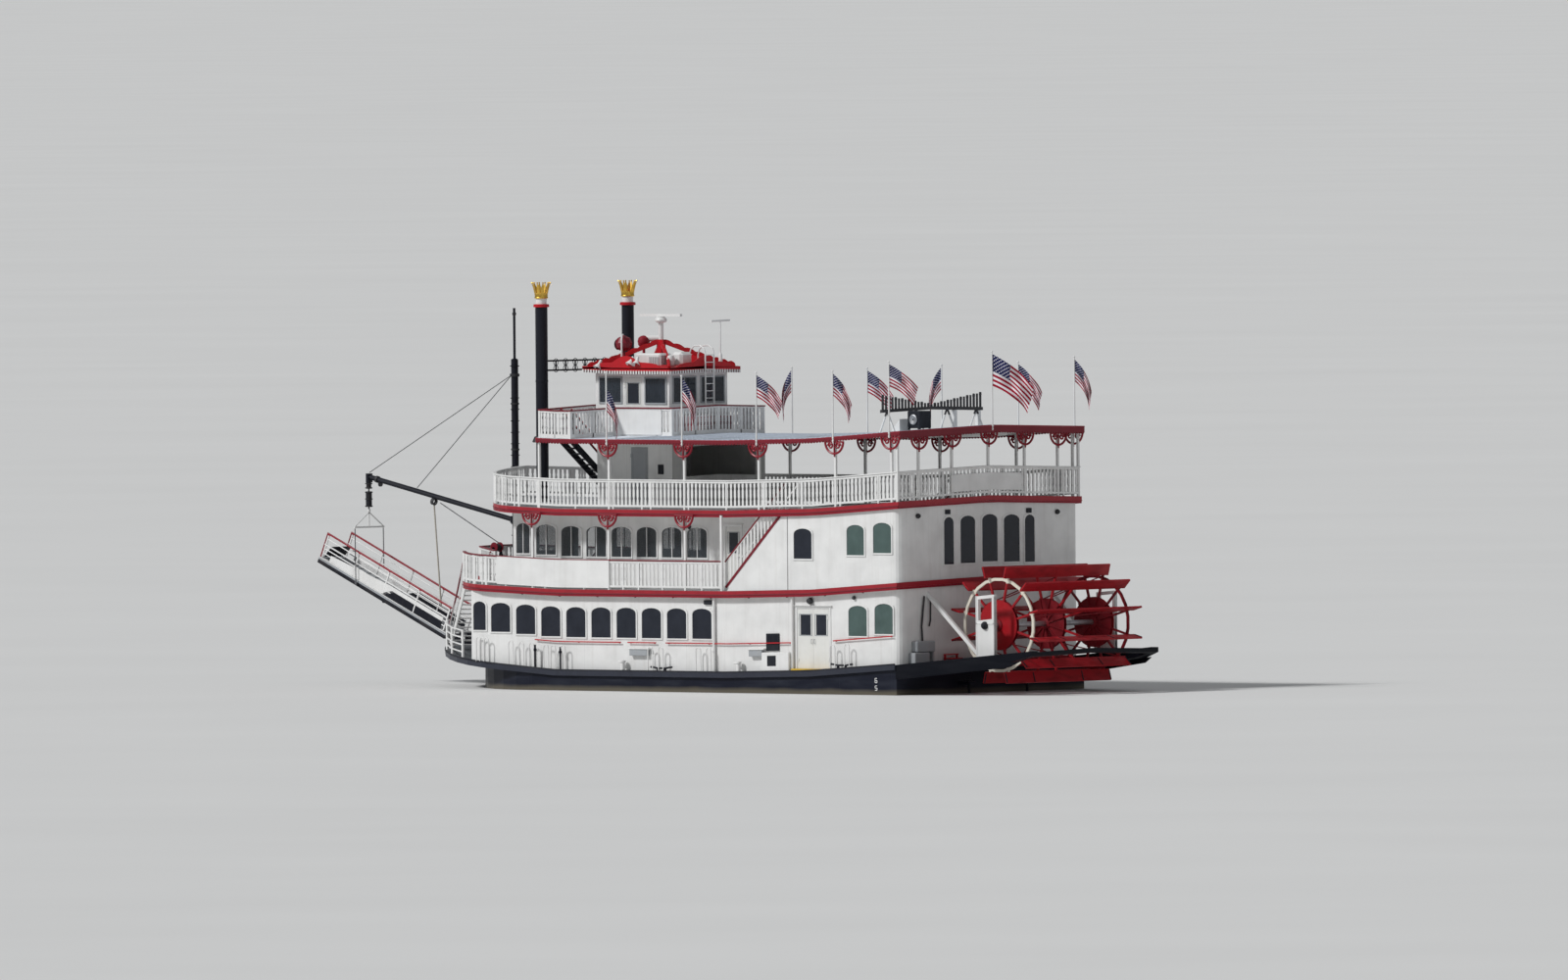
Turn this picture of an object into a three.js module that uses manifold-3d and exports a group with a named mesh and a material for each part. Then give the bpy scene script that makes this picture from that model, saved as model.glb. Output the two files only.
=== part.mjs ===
// A three-deck stern paddle steamer with a swinging stage at the bow, afloat on a flat-bottomed hull.
// Millimetres. +X runs to the stern, +Y to starboard, +Z up. The origin is on the centreline at the
// underside of the flat bottom, amidships. Everything fixed is drawn on level decks first, and then
// lifted by the sheer and the camber, which leaves upright things upright.

import * as THREE from 'three';
import { mergeVertices } from 'three/addons/utils/BufferGeometryUtils.js';
import Module from 'manifold-3d';

const wasm = await Module();
wasm.setup();

// Driving dimensions

const GAP = 0.3;
const RUNNING_GAP = 6;

const WATERLINE = 950;
const MAIN_DECK = WATERLINE + 700;
const DECK_2 = WATERLINE + 3530;
const DECK_3 = WATERLINE + 6320;
const ROOF = WATERLINE + 8750;
const DECK_EDGE = 170;
const ROOF_EDGE = 110;
const CAMBER = 130;

const TRANSOM = 10000;
const AFT_FACE = 9980;
const CORNER = 270;
const WALL = 60;
const CABIN_HALF = 4650;
const SALOON_HALF = 3750;
const CABIN_FRONT = -10150;
const SALOON_FRONT = -8970;
const AFT_CABIN_FRONT = 4800;
const POST = 80;
const POST_PITCH = 3600;

// Deck plans: half width, where the straight side ends, the shoulder and the nose of the bow curve,
// where the nose is cut square, and the after end.
const PLANS = {
  hull: { half: 4850, start: -7100, shoulder: -10500, nose: -13200, blunt: -12900, aft: TRANSOM },
  main: { half: 4950, start: -8600, shoulder: -12200, nose: -15300, blunt: -14950, aft: TRANSOM },
  second: { half: 4850, start: -9300, shoulder: -11500, nose: -13600, blunt: -12900, aft: 10050 },
  third: { half: 4750, start: -7800, shoulder: -10300, nose: -11900, blunt: -11850, aft: 10050 },
  roof: { half: 4750, start: -6900, shoulder: -7200, nose: -7400, blunt: -7390, aft: 10150 },
};

// Sheer: at x, how far the main deck and the decks above it rise.
const SHEER = [
  { x: -15300, main: 680, upper: 300 },
  { x: -10200, main: 290, upper: 150 },
  { x: -6000, main: 0, upper: 0 },
  { x: 2000, main: 0, upper: 0 },
  { x: 6000, main: 90, upper: 90 },
  { x: 10000, main: 360, upper: 360 },
  { x: 16000, main: 900, upper: 900 },
];

const HULL_BOTTOM = { bowRakeFoot: -9000, bowRakeTop: 800, sternRakeFoot: 6500, sternRakeTop: 600 };
const LEVEL_HULL = 850;

const WHEEL = { x: 12630, z: WATERLINE + 2400, radius: 2080, half: 2700, buckets: 12, bucketDepth: 400,
  bucketThick: 60, armAt: 2450, hubRadius: 480, ringRadius: 1640, ringWide: 100, shaftRadius: 90 };
const PEDESTAL = { y: 3120, wide: 850, high: 2100, thick: 130, frame: 110 };
const FANTAIL = { end: 14850, endHalf: 3300, half: 4900, inner: 2950, depth: 320, beam: 200, platform: 10400,
  web: 190, webThick: 80, webEnd: 14400, taperFrom: 14000, taper: 150 };
const RUDDER = { x: 10350, y: 1500, ahead: 250, behind: 900, bottom: 150, top: 900, stock: 50,
  collar: 110, bracketTop: 1350, bracketThick: 100, thick: 60, head: 1520 };

const STACK = { x: -8950, y: 2230, radius: 215, top: 14300, crownTop: 15150 };
const BRACE_LEVELS = [WATERLINE + 11070, WATERLINE + 11400];
const MAST = { x: -12300, radius: 125, top: 12350, poleTop: 14150, poleRadius: 45 };
const BOOM = { heel: 230, heelZ: WATERLINE + 5800, tipX: -19300, tipZ: WATERLINE + 7240, radius: 90,
  ringZ: 12190, tipDrop: 200 };
const HOIST = { sheave: 220, blockTop: 310, blockFoot: 860, spreader: 1560 };
const STAGE = { x: -15120, z: 2660, length: 6600, tilt: 0.4119, half: 650, girder: 200, rail: 1000 };

const PILOTHOUSE = { front: -7070, aft: -3600, half: 1500, eave: WATERLINE + 10970, apex: 12950 };
const DECKHOUSE = { front: -6200, aft: -2660, half: 2400 };

// The bar's opening in the after wall of the deckhouse.
const BAR = { y0: -1720, y1: 1920, z0: DECK_3 + 1000, z1: DECK_3 + 2030 };

// Where the posts under the roof stand, which also carry the flag staffs.
const ROOF_POSTS = [-6850, -3550, 0, 3500, 7080, 9700];
const DECK_2_POSTS = [-7100, -3500, 100];

const COLOURS = {
  white: [0xe9e6df, 0.55, 0],
  navy: [0x10131c, 0.5, 0.1],
  red: [0x9c1118, 0.5, 0],
  darkRed: [0x6a1018, 0.5, 0],
  grey: [0x9aa3ac, 0.6, 0],
  black: [0x14141a, 0.5, 0.2],
  gold: [0xc8972f, 0.35, 0.6],
  door: [0xd9d9d6, 0.5, 0],
};

// Shape helpers

function solidOf(geometry) {
  const bare = geometry.clone();
  bare.deleteAttribute('normal');
  bare.deleteAttribute('uv');
  const merged = mergeVertices(bare, 0.001);
  return solidFrom(Array.from(merged.attributes.position.array), Array.from(merged.index.array));
}

function solidFrom(positions, indices) {
  if (signedVolume(positions, indices) < 0) {
    for (let i = 0; i < indices.length; i += 3) {
      const kept = indices[i];
      indices[i] = indices[i + 1];
      indices[i + 1] = kept;
    }
  }
  return new wasm.Manifold(new wasm.Mesh({
    numProp: 3,
    vertProperties: new Float32Array(positions),
    triVerts: new Uint32Array(indices),
  }));
}

function signedVolume(positions, indices) {
  const corner = (i) => new THREE.Vector3().fromArray(positions, 3 * indices[i]);
  let volume = 0;
  for (let i = 0; i < indices.length; i += 3) {
    volume += corner(i).dot(corner(i + 1).cross(corner(i + 2)));
  }
  return volume;
}

function joined(solids) {
  return solids.reduce((whole, next) => whole.add(next));
}

function block(x0, x1, y0, y1, z0, z1) {
  const geometry = new THREE.BoxGeometry(Math.abs(x1 - x0), Math.abs(y1 - y0), Math.abs(z1 - z0));
  geometry.translate((x0 + x1) / 2, (y0 + y1) / 2, (z0 + z1) / 2);
  return solidOf(geometry);
}

// A straight bar from one point to another: wide is level, deep is upright.
function bar(from, to, wide, deep = wide) {
  const start = new THREE.Vector3(...from);
  const end = new THREE.Vector3(...to);
  const along = end.clone().sub(start);
  const geometry = new THREE.BoxGeometry(wide, deep, along.length());
  along.normalize();
  const level = new THREE.Vector3(0, 0, 1).cross(along);
  if (level.length() < 0.001) {
    level.set(1, 0, 0);
  }
  level.normalize();
  const upright = along.clone().cross(level);
  geometry.applyMatrix4(new THREE.Matrix4().makeBasis(level, upright, along));
  geometry.translate((start.x + end.x) / 2, (start.y + end.y) / 2, (start.z + end.z) / 2);
  return solidOf(geometry);
}

function rod(from, to, radius, sides = 8) {
  const start = new THREE.Vector3(...from);
  const end = new THREE.Vector3(...to);
  const along = end.clone().sub(start);
  const geometry = new THREE.CylinderGeometry(radius, radius, along.length(), sides);
  geometry.rotateY(Math.PI / sides);
  geometry.applyQuaternion(
    new THREE.Quaternion().setFromUnitVectors(new THREE.Vector3(0, 1, 0), along.normalize()));
  geometry.translate((start.x + end.x) / 2, (start.y + end.y) / 2, (start.z + end.z) / 2);
  return solidOf(geometry);
}

// A turned shape on an upright axis at x, y, from [radius, height] pairs that start and end on it.
function turned(profile, x, y, sides = 16) {
  const geometry = new THREE.LatheGeometry(profile.map(([r, z]) => new THREE.Vector2(r, z)), sides);
  geometry.rotateX(Math.PI / 2);
  geometry.translate(x, y, 0);
  return solidOf(geometry);
}

// An outline in plan, raised from z0 to z1.
function plate(outline, z0, z1) {
  const shape = new THREE.Shape(outline.map(([x, y]) => new THREE.Vector2(x, y)));
  const geometry = new THREE.ExtrudeGeometry(shape, { depth: z1 - z0, bevelEnabled: false });
  geometry.translate(0, 0, z0);
  return solidOf(geometry);
}

// An upright panel seen from the side, [x, z] pairs with holes, from y0 to y1.
function sidePanel(outline, holes, y0, y1) {
  const axes = [new THREE.Vector3(1, 0, 0), new THREE.Vector3(0, 0, 1), new THREE.Vector3(0, -1, 0)];
  return panel(outline, holes, Math.abs(y1 - y0), axes, new THREE.Vector3(0, Math.max(y0, y1), 0));
}

// An upright panel seen from astern, [y, z] pairs with holes, from x0 to x1.
function crossPanel(outline, holes, x0, x1) {
  const axes = [new THREE.Vector3(0, 1, 0), new THREE.Vector3(0, 0, 1), new THREE.Vector3(1, 0, 0)];
  return panel(outline, holes, x1 - x0, axes, new THREE.Vector3(x0, 0, 0));
}

function panel(outline, holes, depth, axes, place) {
  const board = (points, over) => {
    const shape = new THREE.Shape(points.map(([x, y]) => new THREE.Vector2(x, y)));
    const geometry = new THREE.ExtrudeGeometry(shape, { depth: depth + 2 * over, bevelEnabled: false });
    geometry.translate(0, 0, -over);
    geometry.applyMatrix4(new THREE.Matrix4().makeBasis(...axes));
    geometry.translate(place.x, place.y, place.z);
    return solidOf(geometry);
  };
  return holes.reduce((whole, hole) => whole.subtract(board(hole, 20)), board(outline, 0));
}

function rectangle(x0, x1, z0, z1) {
  return [[x0, z0], [x1, z0], [x1, z1], [x0, z1]];
}

// A window outline with a low arched head.
function arched(middle, width, sill, height, rise = 190, steps = 4) {
  const outline = [[middle - width / 2, sill], [middle + width / 2, sill]];
  for (let i = 0; i <= steps; i += 1) {
    const angle = (Math.PI * i) / steps;
    outline.push([middle + (width / 2) * Math.cos(angle), sill + height - rise * (1 - Math.sin(angle))]);
  }
  return outline;
}

function moved(solid, matrix) {
  const mesh = solid.getMesh();
  const positions = [];
  const point = new THREE.Vector3();
  for (let i = 0; i < mesh.vertProperties.length; i += 3) {
    point.fromArray(mesh.vertProperties, i).applyMatrix4(matrix);
    positions.push(point.x, point.y, point.z);
  }
  return solidFrom(positions, Array.from(mesh.triVerts));
}

function starboard(solid) {
  return moved(solid, new THREE.Matrix4().makeScale(1, -1, 1));
}

// Sheer and camber

function sheerAt(x, column) {
  const last = SHEER.findIndex((row) => row.x > x);
  if (last === 0) {
    return SHEER[0][column];
  }
  const before = SHEER[last - 1];
  const after = SHEER[last];
  return THREE.MathUtils.mapLinear(x, before.x, after.x, before[column], after[column]);
}

function riseAt(x, y, z) {
  const share = THREE.MathUtils.clamp((z - MAIN_DECK) / (DECK_2 - DECK_EDGE - 1 - MAIN_DECK), 0, 1);
  const sheer = (1 - share) * sheerAt(x, 'main') + share * sheerAt(x, 'upper');
  return sheer + CAMBER * (1 - Math.abs(y) / CABIN_HALF);
}

// Splits every triangle that crosses one upright plane, so that a bend there leaves flat faces.
function splitAcross(mesh, axis, at) {
  const side = mesh.points.map((p) => (Math.abs(p[axis] - at) < 0.01 ? 0 : Math.sign(p[axis] - at)));
  const middles = new Map();
  const middleOf = (a, b) => {
    const key = a < b ? `${a}_${b}` : `${b}_${a}`;
    if (!middles.has(key)) {
      const [low, high] = a < b ? [mesh.points[a], mesh.points[b]] : [mesh.points[b], mesh.points[a]];
      const share = (at - low[axis]) / (high[axis] - low[axis]);
      const middle = low.map((value, i) => value + share * (high[i] - value));
      middle[axis] = at;
      middles.set(key, mesh.points.push(middle) - 1);
    }
    return middles.get(key);
  };
  const triangles = [];
  const fan = (ring) => {
    for (let i = 1; i + 1 < ring.length; i += 1) {
      triangles.push([ring[0], ring[i], ring[i + 1]]);
    }
  };
  for (const triangle of mesh.triangles) {
    const above = [];
    const below = [];
    triangle.forEach((a, i) => {
      const b = triangle[(i + 1) % 3];
      if (side[a] >= 0) above.push(a);
      if (side[a] <= 0) below.push(a);
      if (side[a] * side[b] < 0) {
        const middle = middleOf(a, b);
        above.push(middle);
        below.push(middle);
      }
    });
    const reach = triangle.map((a) => side[a]);
    if (Math.max(...reach) > 0 || Math.min(...reach) === 0) fan(above);
    if (Math.min(...reach) < 0) fan(below);
  }
  mesh.triangles = triangles;
}

// Lifts a solid that was drawn on level decks. Nothing below the level part of the hull moves.
function lifted(solid, bendFrom = -Infinity, bendFull = -Infinity) {
  const source = solid.getMesh();
  const mesh = { points: [], triangles: [] };
  for (let i = 0; i < source.vertProperties.length; i += 3) {
    mesh.points.push(Array.from(source.vertProperties.slice(i, i + 3)));
  }
  for (let i = 0; i < source.triVerts.length; i += 3) {
    mesh.triangles.push(Array.from(source.triVerts.slice(i, i + 3)));
  }
  for (const row of SHEER) {
    splitAcross(mesh, 0, row.x);
  }
  splitAcross(mesh, 1, 0);
  const positions = mesh.points.flatMap(([x, y, z]) => {
    const weight = z >= bendFull ? 1 : THREE.MathUtils.clamp((z - bendFrom) / (bendFull - bendFrom), 0, 1);
    return [x, y, z + weight * riseAt(x, y, z)];
  });
  return solidFrom(positions, mesh.triangles.flat());
}

// The scene graph

const ship = new THREE.Group();
ship.name = 'paddle_steamer';

function material([color, roughness, metalness]) {
  return new THREE.MeshStandardMaterial({ color, roughness, metalness });
}

function piece(name, solid, colour) {
  const source = solid.getMesh();
  const geometry = new THREE.BufferGeometry();
  geometry.setAttribute('position', new THREE.BufferAttribute(source.vertProperties, 3));
  geometry.setIndex(new THREE.BufferAttribute(source.triVerts, 1));
  geometry.computeVertexNormals();
  const mesh = new THREE.Mesh(geometry, material(COLOURS[colour]));
  mesh.name = name;
  ship.add(mesh);
}

function pair(name, solid, colour) {
  piece(`${name}_port`, solid, colour);
  piece(`${name}_starboard`, starboard(solid), colour);
}

// Plans

function bowCurve(plan, inset, sideways, fromShare = 0, toShare = 1, steps = 8) {
  const half = plan.half - inset;
  const curve = new THREE.QuadraticBezierCurve(
    new THREE.Vector2(plan.start, half),
    new THREE.Vector2(plan.shoulder, half),
    new THREE.Vector2(plan.nose + inset, 0),
  );
  const points = [];
  for (let i = 0; i <= steps; i += 1) {
    const point = curve.getPoint(fromShare + ((toShare - fromShare) * i) / steps);
    points.push([point.x, sideways * point.y]);
  }
  return points;
}

function deckOutline(plan) {
  const port = bowCurve(plan, 0, -1);
  const far = bowCurve(plan, 0, 1).reverse().slice(1);
  return [[plan.aft, -plan.half], ...port, ...far, [plan.aft, plan.half]];
}

function deckPlate(plan, z0, z1) {
  const outline = plate(deckOutline(plan), z0, z1);
  return outline.intersect(block(plan.blunt, plan.aft + 10, -6000, 6000, z0 - 10, z1 + 10));
}

// Railings: level rails and posts along a path. All members of one straight stretch are equally thick.

function railing(path, deck, { height, rails = [1], foot = 90, thick = 60 }) {
  const parts = [];
  const half = thick / 2;
  const heading = path.slice(1).map((to, i) => Math.atan2(to[1] - path[i][1], to[0] - path[i][0]));
  const isStraight = (i) => i > 0 && i < heading.length && Math.abs(heading[i] - heading[i - 1]) < 0.01;
  path.slice(1).forEach((to, i) => {
    const from = path[i];
    const length = Math.hypot(to[0] - from[0], to[1] - from[1]);
    const levels = rails.map((share) => height * share - thick);
    if (foot > 0) levels.push(foot);
    const stretch = levels.map((z) => block(0, length, -half, half, deck + z, deck + z + thick));
    const bays = Math.max(1, Math.round(length / POST_PITCH));
    for (let bay = 1; bay < bays; bay += 1) {
      const at = (length * bay) / bays;
      stretch.push(block(at - half, at + half, -half, half, deck + GAP, deck + height));
    }
    const turn = new THREE.Matrix4().makeRotationZ(heading[i]);
    turn.setPosition(from[0], from[1], 0);
    parts.push(lifted(moved(joined(stretch), turn)));
  });
  const corners = path.filter((point, i) => !isStraight(i));
  return joined([...parts, ...posts(corners, half + 10, deck + GAP, deck + height + 8)]);
}

// A straight fore-and-aft run, broken where the sheer changes its slope.
function run(fromX, toX, y) {
  const breaks = SHEER.map((row) => row.x).filter((x) => (x - fromX) * (x - toX) < 0);
  const ordered = toX > fromX ? breaks : breaks.reverse();
  return [fromX, ...ordered, toX].map((x) => [x, y]);
}

function posts(places, half, low, high) {
  return places.map(([x, y]) => lifted(block(x - half, x + half, y - half, y + half, low, high)));
}

// Stairs: a flight that starts at the origin at the top, runs down along +X and is wide along +Y.

function flight({ run: reach, rise, width, treads, stringer = 220 }) {
  const parts = [];
  const pitch = reach / treads;
  for (let i = 1; i < treads; i += 1) {
    const z = -(rise * i) / treads;
    parts.push(block(pitch * (i - 1) + 10, pitch * i + 50, 20, width - 20, z - 40, z));
  }
  for (const y of [20, width - 20]) {
    const string = bar([-60, y, -stringer / 2 + 40], [reach + 60, y, -rise - stringer / 2 + 40], 40, stringer);
    parts.push(string.intersect(block(GAP, reach + 200, -100, width + 100, -rise + GAP, 400)));
    parts.push(bar([0, y, 950], [reach, y, 950 - rise], 40, 60));
    for (const share of [0.03, 0.97]) {
      const foot = -rise * share;
      parts.push(block(reach * share - 25, reach * share + 25, y - 20, y + 20, foot - 60, foot + 950));
    }
  }
  return joined(parts);
}

// Hull and decks

function hull() {
  const top = MAIN_DECK - DECK_EDGE - GAP;
  const { bowRakeFoot, bowRakeTop, sternRakeFoot, sternRakeTop } = HULL_BOTTOM;
  const nose = PLANS.hull.nose;
  let body = deckPlate(PLANS.hull, 0, top);
  const bowRake = sidePanel([[bowRakeFoot, 0], [nose - 100, bowRakeTop], [nose - 100, -100],
    [bowRakeFoot, -100]], [], -6000, 6000);
  const sternRake = sidePanel([[sternRakeFoot, 0], [sternRakeFoot, -100], [TRANSOM + 100, -100],
    [TRANSOM + 100, sternRakeTop]], [], -6000, 6000);
  body = body.subtract(bowRake).subtract(sternRake);
  body = lifted(body, LEVEL_HULL, top);
  const { x, y, stock, bracketTop, bracketThick } = RUDDER;
  for (const sideways of [-1, 1]) {
    const bracket = block(TRANSOM - 50, x + 200, sideways * (y - 180), sideways * (y + 180),
      bracketTop - bracketThick, bracketTop);
    const hole = rod([x, sideways * y, bracketTop - 200], [x, sideways * y, bracketTop + 100],
      stock + RUNNING_GAP, 16);
    body = body.add(bracket.subtract(hole));
  }
  piece('hull', body, 'navy');
}

function mainDeck() {
  const plan = PLANS.main;
  const z0 = MAIN_DECK - DECK_EDGE;
  let deck = deckPlate(plan, z0, MAIN_DECK);
  deck = deck.add(block(TRANSOM - 50, FANTAIL.platform, -FANTAIL.inner + 20, FANTAIL.inner - 20, z0, MAIN_DECK));
  const pad = block(SWIVEL.x - 330, SWIVEL.x + 330, -600, 600, SWIVEL.pad - 150, SWIVEL.pad);
  piece('main_deck', lifted(deck).add(pad), 'navy');
}

// The stage turns on a plate whose pad stands on the nose of the main deck.
const SWIVEL = { x: -14560, pad: 2460, plate: 60, earY: 480, earThick: 60 };

const STAIR = { outerX: -11450, outerY: -3600, innerX: -10880, innerY: -2780, run: 2620, open: 2800 };

function bowStairDirection() {
  const across = new THREE.Vector2(STAIR.outerX - STAIR.innerX, STAIR.outerY - STAIR.innerY).normalize();
  return { down: new THREE.Vector2(across.y, -across.x), across };
}

function secondDeck() {
  let deck = deckPlate(PLANS.second, DECK_2 - DECK_EDGE, DECK_2);
  const { down } = bowStairDirection();
  const far = [down.x * STAIR.open, down.y * STAIR.open];
  const opening = plate([
    [STAIR.outerX - 200, STAIR.outerY - 288],
    [STAIR.outerX - 200 + far[0], STAIR.outerY - 288 + far[1]],
    [STAIR.innerX + far[0], STAIR.innerY + far[1]],
    [STAIR.innerX, STAIR.innerY],
  ], DECK_2 - 400, DECK_2 + 600);
  deck = lifted(deck).subtract(opening).subtract(starboard(opening));
  piece('deck_2', deck, 'red');
}

const SIDE_STAIR = { foot: 1770, head: 4760, inner: 3880, outer: 4600, treads: 15 };

function thirdDeck() {
  let deck = deckPlate(PLANS.third, DECK_3 - DECK_EDGE, DECK_3);
  const well = block(SIDE_STAIR.foot + 500, SIDE_STAIR.head, -SIDE_STAIR.outer, -SIDE_STAIR.inner,
    DECK_3 - 400, DECK_3 + 600);
  deck = lifted(deck).subtract(well).subtract(starboard(well));
  piece('deck_3', deck, 'red');
}

const ROOF_STAIR = { x0: -6850, x1: -6290, head: -3600, foot: -700, wellEnd: -1600 };

function roof() {
  const top = lifted(deckPlate(PLANS.roof, ROOF - ROOF_EDGE, ROOF));
  const well = block(ROOF_STAIR.x0, ROOF_STAIR.x1, ROOF_STAIR.head, ROOF_STAIR.wellEnd, ROOF - 400, ROOF + 600);
  piece('roof', top.subtract(well), 'grey');
}

// Cabins

const SILL_1 = MAIN_DECK + 1150;
const SILL_2 = DECK_2 + 1080;
const WINDOW_HIGH = 1060;
const WINDOW_PITCH = 1188;
const DOOR_1 = { x0: 5230, x1: 6700, z0: 1830, z1: 3890 };

function lowerCabin() {
  const floor = MAIN_DECK + GAP;
  const ceiling = DECK_2 - DECK_EDGE - GAP;
  const windows = [arched(-9740, 600, SILL_1, WINDOW_HIGH)];
  for (let i = 0; i < 9; i += 1) {
    windows.push(arched(-8740 + WINDOW_PITCH * i, 920, SILL_1, WINDOW_HIGH));
  }
  windows.push(arched(8055, 870, SILL_1 - 60, WINDOW_HIGH));
  windows.push(arched(9270, 860, SILL_1 - 60, WINDOW_HIGH));
  const outline = rectangle(CABIN_FRONT, AFT_FACE - CORNER - GAP, floor, ceiling);
  let side = lifted(sidePanel(outline, [], -CABIN_HALF, -CABIN_HALF + WALL));
  side = windowsCut(side, windows, -CABIN_HALF);
  side = side.subtract(block(DOOR_1.x0, DOOR_1.x1, -CABIN_HALF - 50, -CABIN_HALF + WALL + 50,
    DOOR_1.z0, DOOR_1.z1));
  pair('cabin_side', side, 'white');
  const inner = CABIN_HALF - WALL - GAP;
  const front = lifted(crossPanel(rectangle(-inner, inner, floor, ceiling), [], CABIN_FRONT, CABIN_FRONT + WALL));
  piece('cabin_front', front, 'white');
  piece('cabin_aft', sternWall(floor, ceiling, []), 'white');
}

// The after wall turns its corners with a small radius.
function sternPlan(half, aft, corner) {
  const points = [];
  for (const [sideways, from] of [[-1, 0], [1, 1]]) {
    for (let i = 0; i <= 4; i += 1) {
      const angle = (Math.PI / 2) * (Math.abs(from - i / 4));
      points.push([aft - corner + corner * Math.sin(angle), sideways * (half - corner + corner * Math.cos(angle))]);
    }
  }
  return points;
}

function sternWall(floor, ceiling, windows) {
  const outer = sternPlan(CABIN_HALF, AFT_FACE, CORNER);
  const inner = sternPlan(CABIN_HALF - WALL, AFT_FACE - WALL, CORNER - WALL).reverse();
  const wall = lifted(plate([...outer, ...inner], floor, ceiling));
  return sternWindowsCut(wall, windows);
}

// Windows stay level where the decks slope: each is cut at the rise of its own middle.
function windowsCut(wall, windows, y) {
  return windows.reduce((whole, window) => {
    const middle = (window[0][0] + window[1][0]) / 2;
    const level = window.map(([x, z]) => [x, z + riseAt(middle, y, z)]);
    return whole.subtract(sidePanel(level, [], y - 50, y + WALL + 50));
  }, wall);
}

function sternWindowsCut(wall, windows) {
  return windows.reduce((whole, window) => {
    const middle = (window[0][0] + window[1][0]) / 2;
    const level = window.map(([y, z]) => [y, z + riseAt(AFT_FACE, middle, z)]);
    return whole.subtract(crossPanel(level, [], AFT_FACE - 200, AFT_FACE + 100));
  }, wall);
}

function saloon() {
  const floor = DECK_2 + GAP;
  const ceiling = DECK_3 - DECK_EDGE - GAP;
  const windows = [arched(-8480, 640, SILL_2, WINDOW_HIGH)];
  for (let i = 0; i < 7; i += 1) {
    windows.push(arched(-7390 + WINDOW_PITCH * i, 940, SILL_2, WINDOW_HIGH));
  }
  const outline = rectangle(SALOON_FRONT, AFT_CABIN_FRONT - GAP, floor, ceiling);
  let wall = lifted(sidePanel(outline, [], -SALOON_HALF, -SALOON_HALF + WALL));
  wall = windowsCut(wall, windows, -SALOON_HALF);
  wall = wall.subtract(block(DOOR_2.x0, DOOR_2.x1, -SALOON_HALF - 50, -SALOON_HALF + WALL + 50,
    DOOR_2.z0, DOOR_2.z1));
  pair('saloon_side', wall, 'white');
  const inner = SALOON_HALF - WALL - GAP;
  const front = crossPanel(rectangle(-inner, inner, floor, ceiling),
    [rectangle(-450, 450, DECK_2 + 160, DECK_2 + 2160), arched(-2000, 940, SILL_2, WINDOW_HIGH),
      arched(2000, 940, SILL_2, WINDOW_HIGH)], SALOON_FRONT, SALOON_FRONT + WALL);
  piece('saloon_front', lifted(front), 'white');
}

const DOOR_2 = { x0: 1080, x1: 1760, z0: DECK_2 + 180, z1: DECK_2 + 2200 };

function afterCabin() {
  const floor = DECK_2 + GAP;
  const ceiling = DECK_3 - DECK_EDGE - GAP;
  const windows = [arched(5515, 850, SILL_2 - 20, WINDOW_HIGH), arched(7975, 820, SILL_2 - 20, WINDOW_HIGH),
    arched(9225, 850, SILL_2 - 20, WINDOW_HIGH)];
  const sideOutline = rectangle(AFT_CABIN_FRONT, AFT_FACE - CORNER + 1, floor, ceiling);
  const side = windowsCut(lifted(sidePanel(sideOutline, [], -CABIN_HALF, -CABIN_HALF + WALL)), windows, -CABIN_HALF);
  const returned = lifted(crossPanel(rectangle(-CABIN_HALF, -SALOON_HALF, floor, ceiling), [],
    AFT_CABIN_FRONT, AFT_CABIN_FRONT + WALL));
  const sternWindows = [[-2100, 520], [-1120, 780], [15, 810], [1145, 830], [2080, 520]];
  const stern = sternWall(floor, ceiling,
    sternWindows.map(([y, width]) => arched(y, width, DECK_2 + 500, 1650, 200)));
  const walls = joined([stern, side, starboard(side), returned, starboard(returned)]);
  piece('after_cabin', walls, 'white');
}

function deckhouse() {
  const floor = DECK_3 + GAP;
  const ceiling = ROOF - ROOF_EDGE - GAP;
  const { front, aft, half } = DECKHOUSE;
  const plan = [[front, -half], [aft, -half], [aft, half], [front, half]];
  const outer = plate(plan, floor, ceiling);
  let walls = outer.subtract(block(front + WALL, aft - WALL, -half + WALL, half - WALL, floor - 10, ceiling + 10));
  walls = walls.subtract(block(aft - WALL - 50, aft + 50, BAR.y0, BAR.y1, BAR.z0, BAR.z1));
  walls = lifted(walls);
  walls = walls.subtract(block(DOOR_3.x0, DOOR_3.x1, -half - 50, -half + WALL + 50, DOOR_3.z0, DOOR_3.z1));
  piece('deckhouse', walls, 'white');
}

const DOOR_3 = { x0: -4600, x1: -3800, z0: DECK_3 + 190, z1: DECK_3 + 2110 };

function pilothouse() {
  const { front, aft, half, eave } = PILOTHOUSE;
  const floor = ROOF + GAP;
  const sill = ROOF + 1110;
  const sideHoles = [[-6860, -5850], [-4700, -3750]].map(([x0, x1]) => rectangle(x0, x1, sill, sill + 860));
  let side = sidePanel(rectangle(front, aft, floor, eave), sideHoles, -half, -half + WALL);
  const across = [[-1300, -150], [150, 1300]].map(([y0, y1]) => rectangle(y0, y1, sill, sill + 860));
  const end = crossPanel(rectangle(-half + 10, half - 10, floor, eave), across, front, front + WALL);
  const slide = new THREE.Matrix4().makeTranslation(aft - front - WALL, 0, 0);
  let walls = joined([side, starboard(side), end, moved(end, slide)]);
  walls = lifted(walls).subtract(block(DOOR_4.x0, DOOR_4.x1, -half - 50, -half + WALL + 50,
    DOOR_4.z0, DOOR_4.z1));
  piece('pilothouse', walls, 'white');
  pilothouseRoof();
}

const DOOR_4 = { x0: -5700, x1: -4900, z0: ROOF + 230, z1: ROOF + 2080 };

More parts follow.
